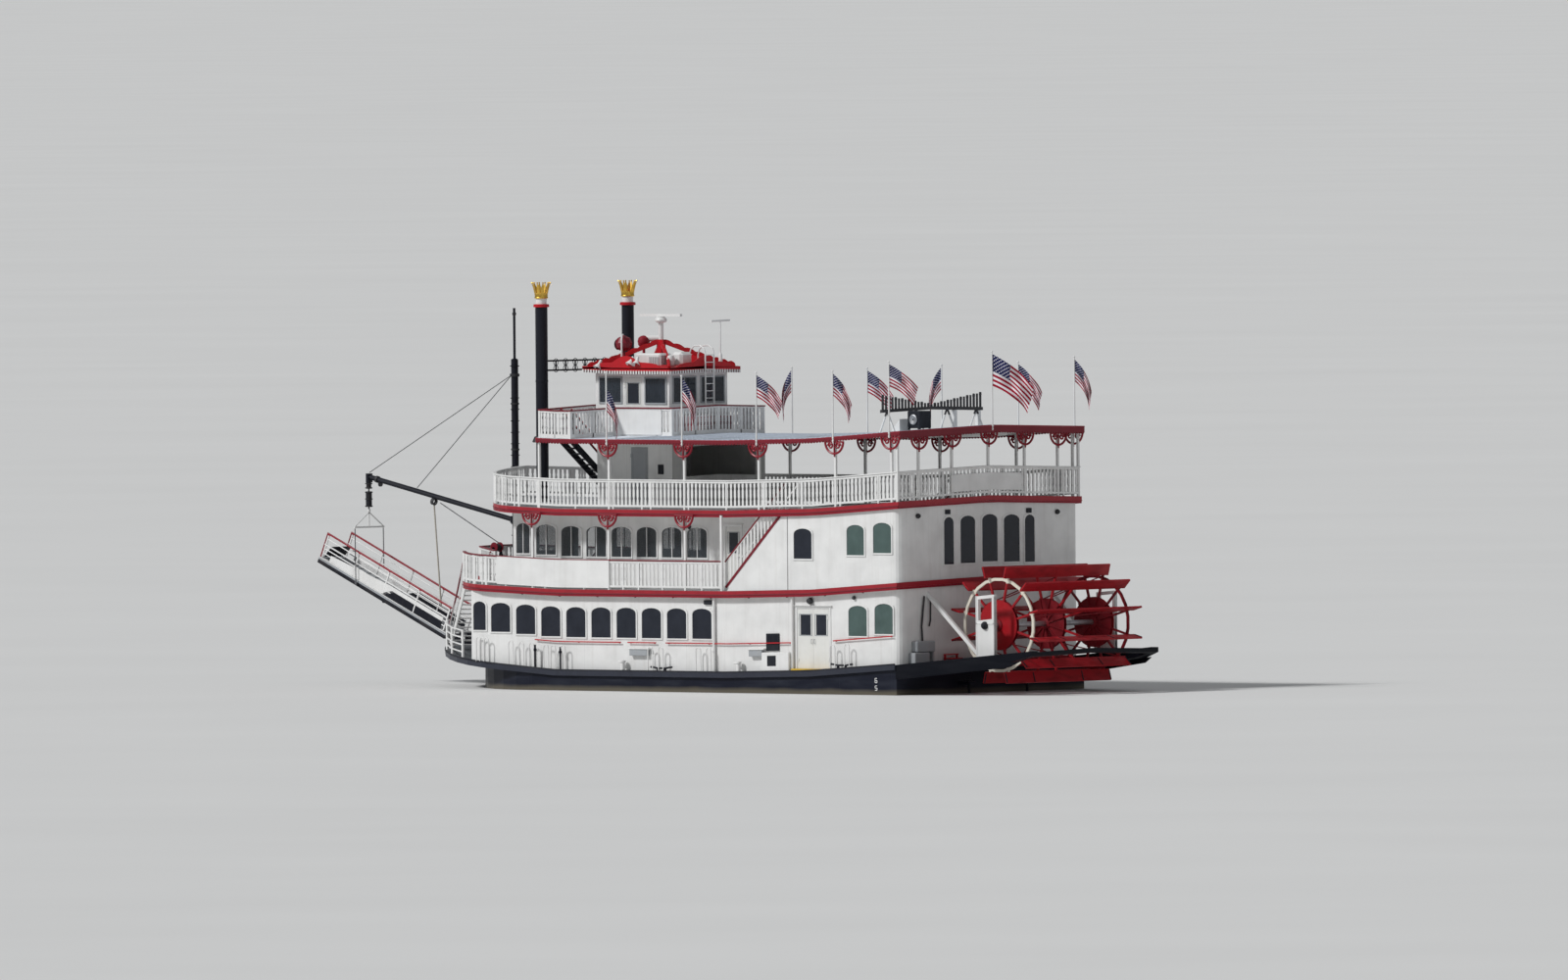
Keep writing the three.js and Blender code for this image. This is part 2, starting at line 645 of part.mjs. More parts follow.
function tapered(lower, upper, z0, z1) {
  const corners = ([x0, x1, half], z) => [[x0, -half, z], [x1, -half, z], [x1, half, z], [x0, half, z]];
  const points = [...corners(lower, z0), ...corners(upper, z1)];
  const faces = [[0, 2, 1], [0, 3, 2], [4, 5, 6], [4, 6, 7]];
  for (let i = 0; i < 4; i += 1) {
    const next = (i + 1) % 4;
    faces.push([i, next, next + 4], [i, next + 4, i + 4]);
  }
  return solidFrom(points.flat(), faces.flat());
}

function pilothouseRoof() {
  const { front, aft, half, eave, apex } = PILOTHOUSE;
  const middle = (front + aft) / 2;
  const over = 330;
  const z0 = eave + GAP;
  const edge = [front - over, aft + over, half + over];
  const rib = 110;
  const parts = [
    tapered(edge, edge, z0, z0 + 120),
    tapered([front - 250, aft + 250, half + 250], [front + 300, aft - 300, half - 300], z0 + 120, z0 + 200),
    block(middle - rib, middle + rib, -rib, rib, z0 + 100, apex),
  ];
  for (const [x, ahead] of [[front, 1], [aft, -1]]) {
    for (const sideways of [-1, 1]) {
      const corner = [x - ahead * 200, sideways * (half + 200), z0 + 130];
      const knee = [x + ahead * 500, sideways * (half - 500), z0 + 390];
      const head = [middle - ahead * 40, sideways * 40, apex - 80];
      parts.push(bar(corner, knee, rib));
      parts.push(bar(knee, head, rib));
    }
  }
  const plinth = block(LAMP.x - 80, LAMP.x + 80, LAMP.y - 80, LAMP.y + 80, eave + 100, LAMP.plinth);
  piece('pilothouse_roof', lifted(joined(parts)).add(plinth), 'red');
}

const LAMP = { x: -5950, y: -1250, plinth: 12420 };

// Railings of each deck

const MAIN_RAIL = { height: 1070, rails: [1, 0.75, 0.5, 0.25], foot: 0, thick: 45 };
const UPPER_RAIL = { height: 1000, thick: 66 };
const ROOF_RAIL = { height: 950, thick: 60 };
const RAIL_INSET = 80;

function bowRails() {
  const bow = bowCurve(PLANS.main, 90, -1, 0.32, 0.8, 3);
  pair('bow_rail', railing(bow, MAIN_DECK, MAIN_RAIL), 'white');
}

function secondDeckRails() {
  const plan = PLANS.second;
  const y = -(plan.half - RAIL_INSET);
  const path = [...run(1800, plan.start, y), ...bowCurve(plan, RAIL_INSET, -1, 0, 0.47, 3).slice(1)];
  const columns = posts([...DECK_2_POSTS, 1800].map((x) => [x, y]), POST / 2, DECK_2 + GAP,
    DECK_3 - DECK_EDGE - GAP);
  pair('rail_deck_2', joined([railing(path, DECK_2, UPPER_RAIL), ...columns]), 'white');

  const { down } = bowStairDirection();
  const near = [STAIR.innerX + 60, STAIR.innerY + 90];
  const foreY = -1400;
  const reach = (foreY - near[1]) / down.y;
  const tongue = [near, [near[0] + down.x * reach, foreY], [-12820, foreY + 120], [-12820, 0]];
  const back = tongue.slice(0, 3).reverse().map(([x, side]) => [x, -side]);
  piece('rail_deck_2_bow', railing([...tongue, ...back], DECK_2, UPPER_RAIL), 'white');
}

function thirdDeckRails() {
  const plan = PLANS.third;
  const edge = plan.half - RAIL_INSET;
  const aft = AFT_FACE - 20;
  const bow = [...bowCurve(plan, RAIL_INSET, -1, 0, 1, 5).slice(1),
    ...bowCurve(plan, RAIL_INSET, 1, 0, 1, 5).reverse().slice(1, -1)];
  const path = [...run(aft, plan.start, -edge), ...bow, ...run(plan.start, aft, edge), [aft, 0], [aft, -edge]];
  const places = ROOF_POSTS.flatMap((x) => [[x, -edge], [x, edge]]);
  for (const y of [-edge, ...STERN_POSTS, edge]) {
    places.push([aft, y]);
  }
  const columns = posts(places, POST / 2, DECK_3 + GAP, ROOF - ROOF_EDGE - GAP);
  piece('rail_deck_3', joined([railing(path, DECK_3, UPPER_RAIL), ...columns]), 'white');
}

// Where the posts of the stern rail stand between its corners.
const STERN_POSTS = [-3600, -1880, 0, 1880, 3600];

function roofRails() {
  const half = [[-2700, 0], [-2700, -2360], [-5400, -2360], [-5400, -4650], [-6830, -4650], [-7200, -1650]];
  const path = [...half, ...half.slice(1).reverse().map(([x, y]) => [x, -y]), half[0]];
  piece('rail_roof', railing(path, ROOF, ROOF_RAIL), 'white');
}

// Stairs of the ship

function stairs() {
  const { down } = bowStairDirection();
  const width = Math.hypot(STAIR.outerX - STAIR.innerX, STAIR.outerY - STAIR.innerY) - 60;
  const bowFlight = flight({ run: STAIR.run, rise: DECK_2 - MAIN_DECK, width, treads: 15 });
  const turn = Math.atan2(down.y, down.x);
  const place = new THREE.Matrix4().makeRotationZ(turn);
  place.setPosition(STAIR.innerX - down.y * 30, STAIR.innerY + down.x * 30, DECK_2);
  pair('bow_stair', lifted(moved(bowFlight, place)), 'white');

  const { foot, head, inner, outer, treads } = SIDE_STAIR;
  const sideFlight = flight({ run: head - foot, rise: DECK_3 - DECK_2, width: outer - inner - 2 * GAP, treads });
  const aboutFace = new THREE.Matrix4().makeRotationZ(Math.PI);
  aboutFace.setPosition(head - 2, -inner - GAP, DECK_3);
  const cladding = sidePanel([[foot + 150, DECK_2 + GAP], [head - 2, DECK_2 + GAP],
    [head - 2, DECK_3 - DECK_EDGE - GAP], [head - 120, DECK_3 - DECK_EDGE - GAP]], [], -CABIN_HALF,
    -outer + 10);
  pair('side_stair', lifted(moved(sideFlight, aboutFace).add(cladding)), 'white');

  const { x0, x1, head: top, foot: bottom } = ROOF_STAIR;
  const roofFlight = flight({ run: bottom - top, rise: ROOF - DECK_3, width: x1 - x0 - 2 * RUNNING_GAP, treads: 12 });
  const quarter = new THREE.Matrix4().makeRotationZ(Math.PI / 2);
  quarter.setPosition(x1 - RUNNING_GAP, top + 2, ROOF);
  piece('roof_stair', lifted(moved(roofFlight, quarter)), 'darkRed');
}

// Stacks, mast and roof gear

function stacks() {
  const { x, y, radius, top, crownTop } = STACK;
  const foot = DECK_3 + GAP;
  const crown = crownTop - riseAt(x, y, top);
  const profile = [[0, foot], [radius + 60, foot], [radius + 60, foot + 60], [radius, foot + 60],
    [radius, top - 100], [radius + 40, top - 100], [radius + 40, top], [radius - 20, top + 60],
    [radius + 20, crown - 420], [radius + 130, crown - 40], [radius + 60, crown], [0, crown - 60]];
  pair('stack', lifted(turned(profile, x, -y, 16)), 'black');
  const inner = y - radius - GAP;
  const brace = [];
  for (const z of BRACE_LEVELS) {
    brace.push(block(x - 30, x + 30, -inner, inner, z - 30, z + 30));
  }
  for (let i = -3; i <= 3; i += 1) {
    brace.push(block(x - 20, x + 20, i * 500 - 20, i * 500 + 20, ...BRACE_LEVELS));
  }
  piece('stack_brace', joined(brace), 'black');
}

function mast() {
  const { x, radius, top, poleTop, poleRadius } = MAST;
  const foot = DECK_2 + riseAt(x, 0, DECK_2) - 30;
  const profile = [[0, foot], [radius + 90, foot], [radius + 90, foot + 50], [radius, foot + 50]];
  for (const seat of [BOOM.heelZ - 120, BOOM.ringZ - 50]) {
    profile.push([radius, seat - 40], [radius + 40, seat - 40], [radius + 40, seat - GAP], [radius, seat - GAP]);
  }
  profile.push([radius, top], [poleRadius, top + 40], [poleRadius, poleTop], [0, poleTop]);
  const deck = lifted(block(x - 400, x + 400, -400, 400, DECK_2 - 150, DECK_2 + GAP));
  piece('mast', turned(profile, x, 0, 16).subtract(deck), 'black');
}

function calliope() {
  const x = 7350;
  const manifold = ROOF + 760;
  const half = 2600;
  const parts = [bar([x, -half, manifold], [x, half, manifold], 110)];
  const pipes = 16;
  for (let i = 0; i < pipes; i += 1) {
    const share = (2 * i) / (pipes - 1) - 1;
    const y = share * (half - 80);
    parts.push(rod([x, y, manifold], [x, y, manifold + 130 + 420 * Math.abs(share)], 45, 6));
  }
  for (const y of [-2300, -800, 800, 2300]) {
    parts.push(bar([x, y, manifold], [x + 350, y, ROOF + GAP], 50));
    parts.push(bar([x, y, manifold], [x - 350, y, ROOF + GAP], 50));
  }
  const feet = block(x - 600, x + 600, -3000, 3000, ROOF + GAP, ROOF + 2000);
  piece('calliope', lifted(joined(parts).intersect(feet)), 'black');
}

function roofGear() {
  const units = [[-3450, -900], [-3450, 100]].map(([x, y]) => block(x, x + 600, y, y + 800, ROOF + GAP, ROOF + 620));
  const base = block(-3480, -2850, -950, 950, ROOF + GAP, ROOF + 60);
  piece('roof_units', lifted(joined([...units, base])), 'white');

  const scannerX = -5335;
  const postFoot = PILOTHOUSE.apex + riseAt(scannerX, 0, ROOF) + GAP;
  const postTop = postFoot + 800;
  const post = [[0, postFoot], [90, postFoot], [90, postTop - 140], [150, postTop - 120], [150, postTop], [0, postTop]];
  piece('scanner_post', turned(post, scannerX, 0, 12), 'white');
  const barZ = postTop + RUNNING_GAP;
  const spindle = rod([scannerX, 0, postTop + GAP], [scannerX, 0, barZ + 40], 30, 8);
  piece('scanner_bar', spindle.add(block(scannerX - 950, scannerX + 950, -60, 60, barZ, barZ + 90)), 'white');

  const foot = LAMP.plinth + GAP;
  const lamp = [[0, foot], [60, foot], [40, foot + 280], [140, foot + 290], [270, foot + 400], [300, foot + 560],
    [230, foot + 730], [0, foot + 830]];
  piece('searchlight', turned(lamp, LAMP.x, LAMP.y, 12), 'red');
}

// The edge trim of the roof, with the flag staffs and their flags

function roofEdge() {
  const plan = PLANS.roof;
  const z0 = ROOF - 250;
  const wide = { ...plan, half: plan.half + 40, start: plan.start - 10, shoulder: plan.shoulder - 40,
    nose: plan.nose - 40, blunt: plan.blunt - 40, aft: plan.aft + 40 };
  const tight = { ...plan, half: plan.half + GAP, nose: plan.nose - GAP, blunt: plan.blunt - GAP,
    shoulder: plan.shoulder - GAP, aft: plan.aft + GAP };
  let trim = lifted(deckPlate(wide, z0, ROOF - 10).subtract(deckPlate(tight, z0 - 20, ROOF + 20)));
  const staffs = [];
  for (const x of ROOF_POSTS.slice(1)) {
    for (const sideways of [-1, 1]) {
      staffs.push([x, sideways * (plan.half + 45), 1]);
    }
  }
  staffs.push([plan.aft + 45, 0, 1.25]);
  for (const [x, y, size] of staffs) {
    const rise = riseAt(x, y, ROOF);
    const top = ROOF + rise + 2300 * size;
    const staff = rod([x, y, z0 + rise + 40], [x, y, top], 22, 5);
    const flag = sidePanel([[0, 0], [620 * size, -420 * size], [760 * size, -1350 * size],
      [330 * size, -1150 * size], [0, -900 * size]], [], -25, 25);
    const turn = new THREE.Matrix4().makeRotationZ(0.6);
    turn.setPosition(x, y, top - 30);
    trim = trim.add(staff).add(moved(flag, turn));
  }
  piece('roof_edge', trim, 'darkRed');
}

// The fantail, the wheel and the rudders

function fantail() {
  const { end, endHalf, half, inner, depth, beam, web, webThick, webEnd, taperFrom, taper } = FANTAIL;
  const z1 = MAIN_DECK;
  const z0 = MAIN_DECK - depth;
  const side = [[TRANSOM + GAP, -inner - 150], [TRANSOM + GAP, -half], [end, -endHalf], [end, -inner]];
  const arm = plate(side, z0, z1);
  const cross = block(end - beam, end, -endHalf + 50, endHalf - 50, z0 + 40, z1 - 40);
  const outerY = (x) => -half + ((half - endHalf) * (x - TRANSOM)) / (end - TRANSOM);
  const strip = plate([[TRANSOM + GAP, outerY(TRANSOM)], [webEnd, outerY(webEnd)],
    [webEnd, outerY(webEnd) + webThick], [TRANSOM + GAP, outerY(TRANSOM) + webThick]], z0 - web, z0 + 10);
  const webShape = sidePanel([[TRANSOM, z0 - web], [taperFrom, z0 - web + 30], [webEnd, z0 - 5],
    [webEnd, z0 + 20], [TRANSOM, z0 + 20]], [], -half - 100, half + 100);
  const webs = strip.intersect(webShape);
  const underEnd = sidePanel([[taperFrom, z0 - 1], [end + 10, z0 + taper], [end + 10, z0 - 1]], [],
    -half - 100, half + 100);
  const frame = joined([arm, starboard(arm), cross]).subtract(underEnd);
  piece('fantail_frame', lifted(joined([frame, webs, starboard(webs)])), 'black');
}

function wheelBrackets() {
  const { y, wide, high, thick, frame } = PEDESTAL;
  const foot = MAIN_DECK + GAP;
  const axis = WHEEL.z - riseAt(WHEEL.x, y, MAIN_DECK);
  const x0 = WHEEL.x - wide / 2;
  const x1 = WHEEL.x + wide / 2;
  const hole = rectangle(x0 + frame, x1 - frame, axis + 200, foot + high - frame);
  let pedestal = sidePanel(rectangle(x0, x1, foot, foot + high), [hole], -y - thick / 2, -y + thick / 2);
  const strut = bar([AFT_FACE - 80, -y - 80, DECK_2 - 380], [x0 + 60, -y, foot + 100], 120, 120);
  pedestal = pedestal.add(strut.intersect(block(AFT_FACE + GAP, x1, -6000, 0, foot, DECK_2)));
  let bracket = lifted(pedestal);
  const bore = rod([WHEEL.x, -y - 300, WHEEL.z], [WHEEL.x, -y + 300, WHEEL.z],
    (WHEEL.shaftRadius + GAP) / Math.cos(Math.PI / 24), 24);
  bracket = bracket.subtract(bore);
  pair('wheel_bracket', bracket, 'white');
}

function turnedAbout(profile, sides) {
  const geometry = new THREE.LatheGeometry(profile.map(([r, y]) => new THREE.Vector2(r, y)), sides);
  geometry.rotateY(Math.PI / sides);
  geometry.translate(WHEEL.x, 0, WHEEL.z);
  return solidOf(geometry);
}

function wheelPoint(radius, angle, y) {
  return [WHEEL.x + radius * Math.cos(angle), y, WHEEL.z + radius * Math.sin(angle)];
}

function arms(y, reach, wide) {
  const parts = [];
  for (let i = 0; i < WHEEL.buckets; i += 1) {
    const angle = ((i + 0.5) * 2 * Math.PI) / WHEEL.buckets;
    parts.push(bar(wheelPoint(300, angle, y), wheelPoint(reach, angle, y), wide, wide));
  }
  return joined(parts);
}

function hub(y, thick) {
  const { hubRadius, shaftRadius } = WHEEL;
  return turnedAbout([[shaftRadius + GAP, y - thick / 2], [hubRadius, y - thick / 2], [hubRadius, y + thick / 2],
    [shaftRadius + GAP, y + thick / 2], [shaftRadius + GAP, y - thick / 2]], 12);
}

function wheel() {
  const { radius, half, buckets, bucketDepth, bucketThick, armAt, ringRadius, ringWide, shaftRadius } = WHEEL;
  const reach = PEDESTAL.y + PEDESTAL.thick / 2 + 60;
  piece('wheel_shaft', turnedAbout([[0, -reach], [shaftRadius, -reach], [shaftRadius, reach], [0, reach]], 12), 'grey');

  const ring = turnedAbout([[ringRadius - ringWide, -30], [ringRadius, -30], [ringRadius, 30],
    [ringRadius - ringWide, 30], [ringRadius - ringWide, -30]], 24);
  const armReach = radius - bucketDepth - GAP;
  for (const [name, sideways] of [['port', -1], ['starboard', 1]]) {
    const y = sideways * armAt;
    const shift = new THREE.Matrix4().makeTranslation(0, y, 0);
    const spider = joined([hub(y, 100), arms(y, armReach, 70), moved(ring, shift)]);
    piece(`wheel_spider_${name}`, spider, 'red');
  }
  const boards = [hub(0, 100), arms(0, radius - 60, 70)];
  for (let i = 0; i < buckets; i += 1) {
    const angle = ((i + 0.5) * 2 * Math.PI) / buckets;
    const board = new THREE.BoxGeometry(bucketDepth, 2 * half, bucketThick);
    board.translate(radius - bucketDepth / 2, 0, 0);
    board.rotateY(-angle);
    board.translate(WHEEL.x, 0, WHEEL.z);
    boards.push(solidOf(board));
  }
  piece('wheel_buckets', joined(boards), 'red');
}

function rudders() {
  const { x, y, ahead, behind, bottom, top, stock, collar, bracketTop, thick, head } = RUDDER;
  const blade = block(x - ahead, x + behind, -y - thick / 2, -y + thick / 2, bottom, top);
  const spindle = rod([x, -y, bottom + 200], [x, -y, head], stock, 12);
  const ring = rod([x, -y, bracketTop + GAP], [x, -y, bracketTop + 60], collar, 12);
  pair('rudder', joined([blade, spindle, ring]), 'black');
}

// Doors

// A leaf lies in its opening, flush with one face of the wall, and hangs on two barrels on that side.
function leaf(name, { x0, x1, z0, z1 }, half, { sideways, hasGlass = true, hingeAft = false, opensIn = false }) {
  const outline = rectangle(x0 + RUNNING_GAP, x1 - RUNNING_GAP, z0 + RUNNING_GAP, z1 - RUNNING_GAP);
  const glass = hasGlass ? [rectangle(x0 + 130, x1 - 130, z1 - 900, z1 - 200)] : [];
  let door = sidePanel(outline, glass, -half, -half + HINGE.leaf);
  const axisX = hingeAft ? x1 - HINGE.side : x0 + HINGE.side;
  const reach = hingeAft ? -HINGE.strap : HINGE.strap;
  const axisY = -half - HINGE.out;
  for (const z of [z0 + 300, z1 - 300]) {
    door = door.add(rod([axisX, axisY, z - 60], [axisX, axisY, z + 60], HINGE.out - GAP, 12));
    door = door.add(block(axisX, axisX + reach, axisY - 4, -half + 5, z - 50, z + 50));
  }
  if (opensIn) {
    const flip = new THREE.Matrix4().makeScale(1, -1, 1);
    door = moved(door, flip.setPosition(0, WALL - 2 * half, 0));
  }
  piece(name, sideways < 0 ? door : starboard(door), 'door');
}

const HINGE = { out: 12, side: 3, leaf: 45, strap: 60 };

function doors() {
  const middle = (DOOR_1.x0 + DOOR_1.x1) / 2;
  const split = RUNNING_GAP / 2;
  for (const [name, sideways] of [['port', -1], ['starboard', 1]]) {
    leaf(`cabin_door_fore_${name}`, { ...DOOR_1, x1: middle + split }, CABIN_HALF, { sideways });
    leaf(`cabin_door_aft_${name}`, { ...DOOR_1, x0: middle - split }, CABIN_HALF, { sideways, hingeAft: true });
    leaf(`saloon_door_${name}`, DOOR_2, SALOON_HALF, { sideways, opensIn: true });
  }
  leaf('deckhouse_door', DOOR_3, DECKHOUSE.half, { sideways: -1, hasGlass: false });
  leaf('pilothouse_door', DOOR_4, PILOTHOUSE.half, { sideways: -1 });
}

// The swinging stage, its boom and its hoist

function boomAndStage() {
  const { heel, heelZ, tipX, tipZ, radius, tipDrop } = BOOM;
  const collar = MAST.radius + RUNNING_GAP;
  const ringProfile = (z0, z1, wall) => [[collar, z0], [collar + wall, z0], [collar + wall, z1], [collar, z1],
    [collar, z0]];
  const heelX = MAST.x - heel;
  const boom = joined([
    turned(ringProfile(heelZ - 120, heelZ + 120, 70), MAST.x, 0, 24),
    rod([heelX + 70, 0, heelZ], [tipX, 0, tipZ], radius, 12),
    block(tipX - 60, tipX + 60, -110, 110, tipZ - tipDrop, tipZ + 120),
  ]);
  piece('boom', boom, 'black');

  const { ringZ } = BOOM;
  const middleX = -17000;
  const slope = (tipZ - heelZ) / (tipX - heelX);
  const boomTop = (x) => heelZ + slope * (x - heelX) + radius + 4;
  const stays = joined([
    turned(ringProfile(ringZ - 50, ringZ + 50, 40), MAST.x, 0, 24),
    bar([MAST.x - collar - 20, 0, ringZ], [tipX + 20, 0, tipZ + 120 + 32], 40, 40),
    bar([MAST.x - collar - 20, 0, ringZ], [middleX, 0, boomTop(middleX) + 30], 40, 40),
  ]).subtract(boom);
  piece('boom_stays', stays, 'black');

  const pivot = [STAGE.x, 0, STAGE.z];
  const direction = [-Math.cos(STAGE.tilt), 0, Math.sin(STAGE.tilt)];
  const up = [Math.sin(STAGE.tilt), 0, Math.cos(STAGE.tilt)];
  const at = (along, y, height) => [
    pivot[0] + direction[0] * along + up[0] * height, y, pivot[2] + direction[2] * along + up[2] * height];
  const stageParts = [];
  for (const y of [-STAGE.half + 40, STAGE.half - 40]) {
    stageParts.push(bar(at(0, y, 0), at(STAGE.length, y, 0), 80, STAGE.girder));
    stageParts.push(bar(at(150, y, STAGE.rail), at(STAGE.length - 60, y, STAGE.rail), 50, 50));
    stageParts.push(bar(at(150, y, STAGE.rail * 0.6), at(STAGE.length - 60, y, STAGE.rail * 0.6), 40, 40));
    for (let i = 0; i <= 4; i += 1) {
      const along = 180 + (i * (STAGE.length - 300)) / 4;
      stageParts.push(bar(at(along, y, 0), at(along, y, STAGE.rail), 50, 50));
    }
  }
  stageParts.push(bar(at(170, 0, STAGE.girder / 2 - 25), at(STAGE.length, 0, STAGE.girder / 2 - 25),
    2 * STAGE.half - 100, 50));
  stageParts.push(rod([pivot[0], -STAGE.half + 60, pivot[2]], [pivot[0], STAGE.half - 60, pivot[2]], 50, 12));
  piece('stage', joined(stageParts), 'grey');

  const seat = SWIVEL.pad + GAP;
  const swivel = [block(pivot[0] + 90, SWIVEL.x + 300, -SWIVEL.earY - 60, SWIVEL.earY + 60, seat, seat + SWIVEL.plate)];
  for (const y of [-SWIVEL.earY, SWIVEL.earY]) {
    const halfEar = SWIVEL.earThick / 2;
    swivel.push(block(pivot[0] - 80, SWIVEL.x, y - halfEar, y + halfEar, seat + 1, pivot[2] + 90));
  }
  const pin = rod([pivot[0], -STAGE.half, pivot[2]], [pivot[0], STAGE.half, pivot[2]],
    (50 + GAP) / Math.cos(Math.PI / 24), 24);
  piece('stage_swivel', joined(swivel).subtract(pin), 'black');

  const hoistX = tipX - 20;
  const hangAt = 4560;
  const hangY = STAGE.half + 80;
  const hoistTop = tipZ - tipDrop - GAP;
  const { sheave, blockTop, blockFoot, spreader } = HOIST;
  const spreaderZ = hoistTop - spreader;
  const hoist = [
    rod([hoistX, 0, hoistTop - sheave], [hoistX, 0, hoistTop], 90, 12),
    rod([hoistX, 0, hoistTop - blockFoot], [hoistX, 0, hoistTop - blockTop], 110, 12),
    rod([hoistX, 0, spreaderZ], [hoistX, 0, hoistTop - 20], 25, 6),
    bar([hoistX, -hangY - 30, spreaderZ], [hoistX, hangY + 30, spreaderZ], 60, 60),
  ];
  for (const y of [-hangY, hangY]) {
    const low = at(hangAt, y, 0);
    hoist.push(bar([hoistX, y, spreaderZ], low, 25, 25));
    hoist.push(block(low[0] - 40, low[0] + 40, y - 20, y + 20, low[2] - 60, low[2] + 40));
  }
  piece('stage_hoist', joined(hoist), 'white');
}

hull();
mainDeck();
secondDeck();
thirdDeck();
roof();
lowerCabin();
saloon();
afterCabin();
deckhouse();
pilothouse();
bowRails();
secondDeckRails();
thirdDeckRails();
roofRails();
stairs();
stacks();
mast();
calliope();
roofGear();
roofEdge();
fantail();
wheelBrackets();
wheel();
rudders();
doors();
boomAndStage();

export default ship;
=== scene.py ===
"""The looks of a stern paddle steamer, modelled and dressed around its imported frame.

Metres. +X runs to the stern, +Y to starboard, +Z up, from the underside of the flat bottom.
"""

import logging
import math
from dataclasses import dataclass, field
from enum import Enum
from typing import Callable, Iterable, Sequence

import bpy
from mathutils import Matrix, Vector


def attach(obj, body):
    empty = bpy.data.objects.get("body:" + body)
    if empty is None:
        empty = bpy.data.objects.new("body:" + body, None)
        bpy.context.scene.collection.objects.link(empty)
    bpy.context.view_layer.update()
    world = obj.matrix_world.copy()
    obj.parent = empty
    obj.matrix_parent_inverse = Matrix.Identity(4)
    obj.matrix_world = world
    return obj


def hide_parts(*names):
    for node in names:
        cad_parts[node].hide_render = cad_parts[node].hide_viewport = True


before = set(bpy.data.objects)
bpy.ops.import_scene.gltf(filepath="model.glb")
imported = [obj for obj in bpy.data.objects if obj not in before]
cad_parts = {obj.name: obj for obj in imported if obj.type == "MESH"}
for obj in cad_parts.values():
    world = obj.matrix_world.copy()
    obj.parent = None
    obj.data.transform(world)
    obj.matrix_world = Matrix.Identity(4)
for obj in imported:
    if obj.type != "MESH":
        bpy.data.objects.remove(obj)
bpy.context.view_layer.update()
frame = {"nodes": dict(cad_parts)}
LOG = logging.getLogger("steamer")

Point = tuple[float, float, float]
Flat = tuple[float, float]
Colour = tuple[float, float, float]
Piece = bpy.types.Object
Socket = bpy.types.NodeSocket

SHIP = "ship"
WATERLINE = 0.95
MAIN_DECK = WATERLINE + 0.7
DECK_2 = WATERLINE + 3.53
DECK_3 = WATERLINE + 6.32
ROOF = WATERLINE + 8.75
EAVE = WATERLINE + 10.97
DECK_EDGE = 0.17
CAMBER = 0.13
AFT_FACE = 9.98
CABIN_HALF = 4.65
WALL_FACE = CABIN_HALF + 0.002
SALOON_HALF = 3.75
WINDOW_PITCH = 1.188
WINDOW_HIGH = 1.06
ARCH_RISE = 0.19
SILL_1 = MAIN_DECK + 1.15
SILL_2 = DECK_2 + 1.08
SHAFT = (12.63, 3.35)
MAST_X = -12.3
HOIST_X = -19.32
UPWARD = Vector((0, 0, 1))
MERGE = 0.0002


class Side(Enum):
    """The two sides of the ship."""

    PORT = -1
    STARBOARD = 1

    @property
    def word(self) -> str:
        """The side's name as node names have it."""
        return self.name.lower()


# Sheer and camber


@dataclass(frozen=True)
class SheerRow:
    """How far the main deck and the decks above it rise at one station."""

    x: float
    main: float
    upper: float


SHEER = (
    SheerRow(-15.3, 0.68, 0.30),
    SheerRow(-10.2, 0.29, 0.15),
    SheerRow(-6.0, 0.0, 0.0),
    SheerRow(2.0, 0.0, 0.0),
    SheerRow(6.0, 0.09, 0.09),
    SheerRow(10.0, 0.36, 0.36),
    SheerRow(16.0, 0.90, 0.90),
)


def rise(x: float, y: float, z: float) -> float:
    """How far a point drawn on level decks is lifted by the sheer and the camber.

    Args:
        x, y, z: the point on level decks.

    Returns:
        The lift in metres.
    """
    after = next((i for i, row in enumerate(SHEER) if row.x > x), len(SHEER) - 1)
    low, high = SHEER[max(after, 1) - 1], SHEER[max(after, 1)]
    part = min(max((x - low.x) / (high.x - low.x), 0.0), 1.0)
    share = min(max((z - MAIN_DECK) / (DECK_2 - DECK_EDGE - MAIN_DECK), 0.0), 1.0)
    main = low.main + part * (high.main - low.main)
    upper = low.upper + part * (high.upper - low.upper)
    return (1 - share) * main + share * upper + CAMBER * (1 - abs(y) / CABIN_HALF)


def lift(piece: Piece) -> Piece:
    """Lifts a piece that was drawn on level decks, vertex by vertex."""
    for vertex in piece.data.vertices:
        vertex.co.z += rise(*vertex.co)
    return piece


# The workbench


def deselect() -> None:
    """Leaves nothing selected, in object mode."""
    if bpy.context.object and bpy.context.object.mode != "OBJECT":
        bpy.ops.object.mode_set(mode="OBJECT")
    bpy.ops.object.select_all(action="DESELECT")


def only(piece: Piece) -> None:
    """Selects one piece and makes it active."""
    deselect()
    piece.select_set(True)
    bpy.context.view_layer.objects.active = piece


def settle(piece: Piece) -> Piece:
    """Puts a piece's place into its mesh, so that its object stays at the origin."""
    only(piece)
    bpy.ops.object.transform_apply(location=True, rotation=True, scale=True)
    return piece


def in_edit(piece: Piece, work: Callable[[], object]) -> Piece:
    """Runs an edit mode step on all of a piece's mesh.

    Args:
        piece: the piece to work on.
        work: the operator calls.

    Returns:
        The same piece.
    """
    only(piece)
    bpy.ops.object.mode_set(mode="EDIT")
    bpy.ops.mesh.select_all(action="SELECT")
    work()
    bpy.ops.object.mode_set(mode="OBJECT")
    return piece


def outward(piece: Piece) -> Piece:
    """Merges doubles and turns every face outwards.

    Args:
        piece: the piece.

    Returns:
        The same piece.
    """

    def work() -> None:
        """The two clean-up steps."""
        bpy.ops.mesh.remove_doubles(threshold=MERGE)
        bpy.ops.mesh.normals_make_consistent(inside=False)

    return in_edit(piece, work)


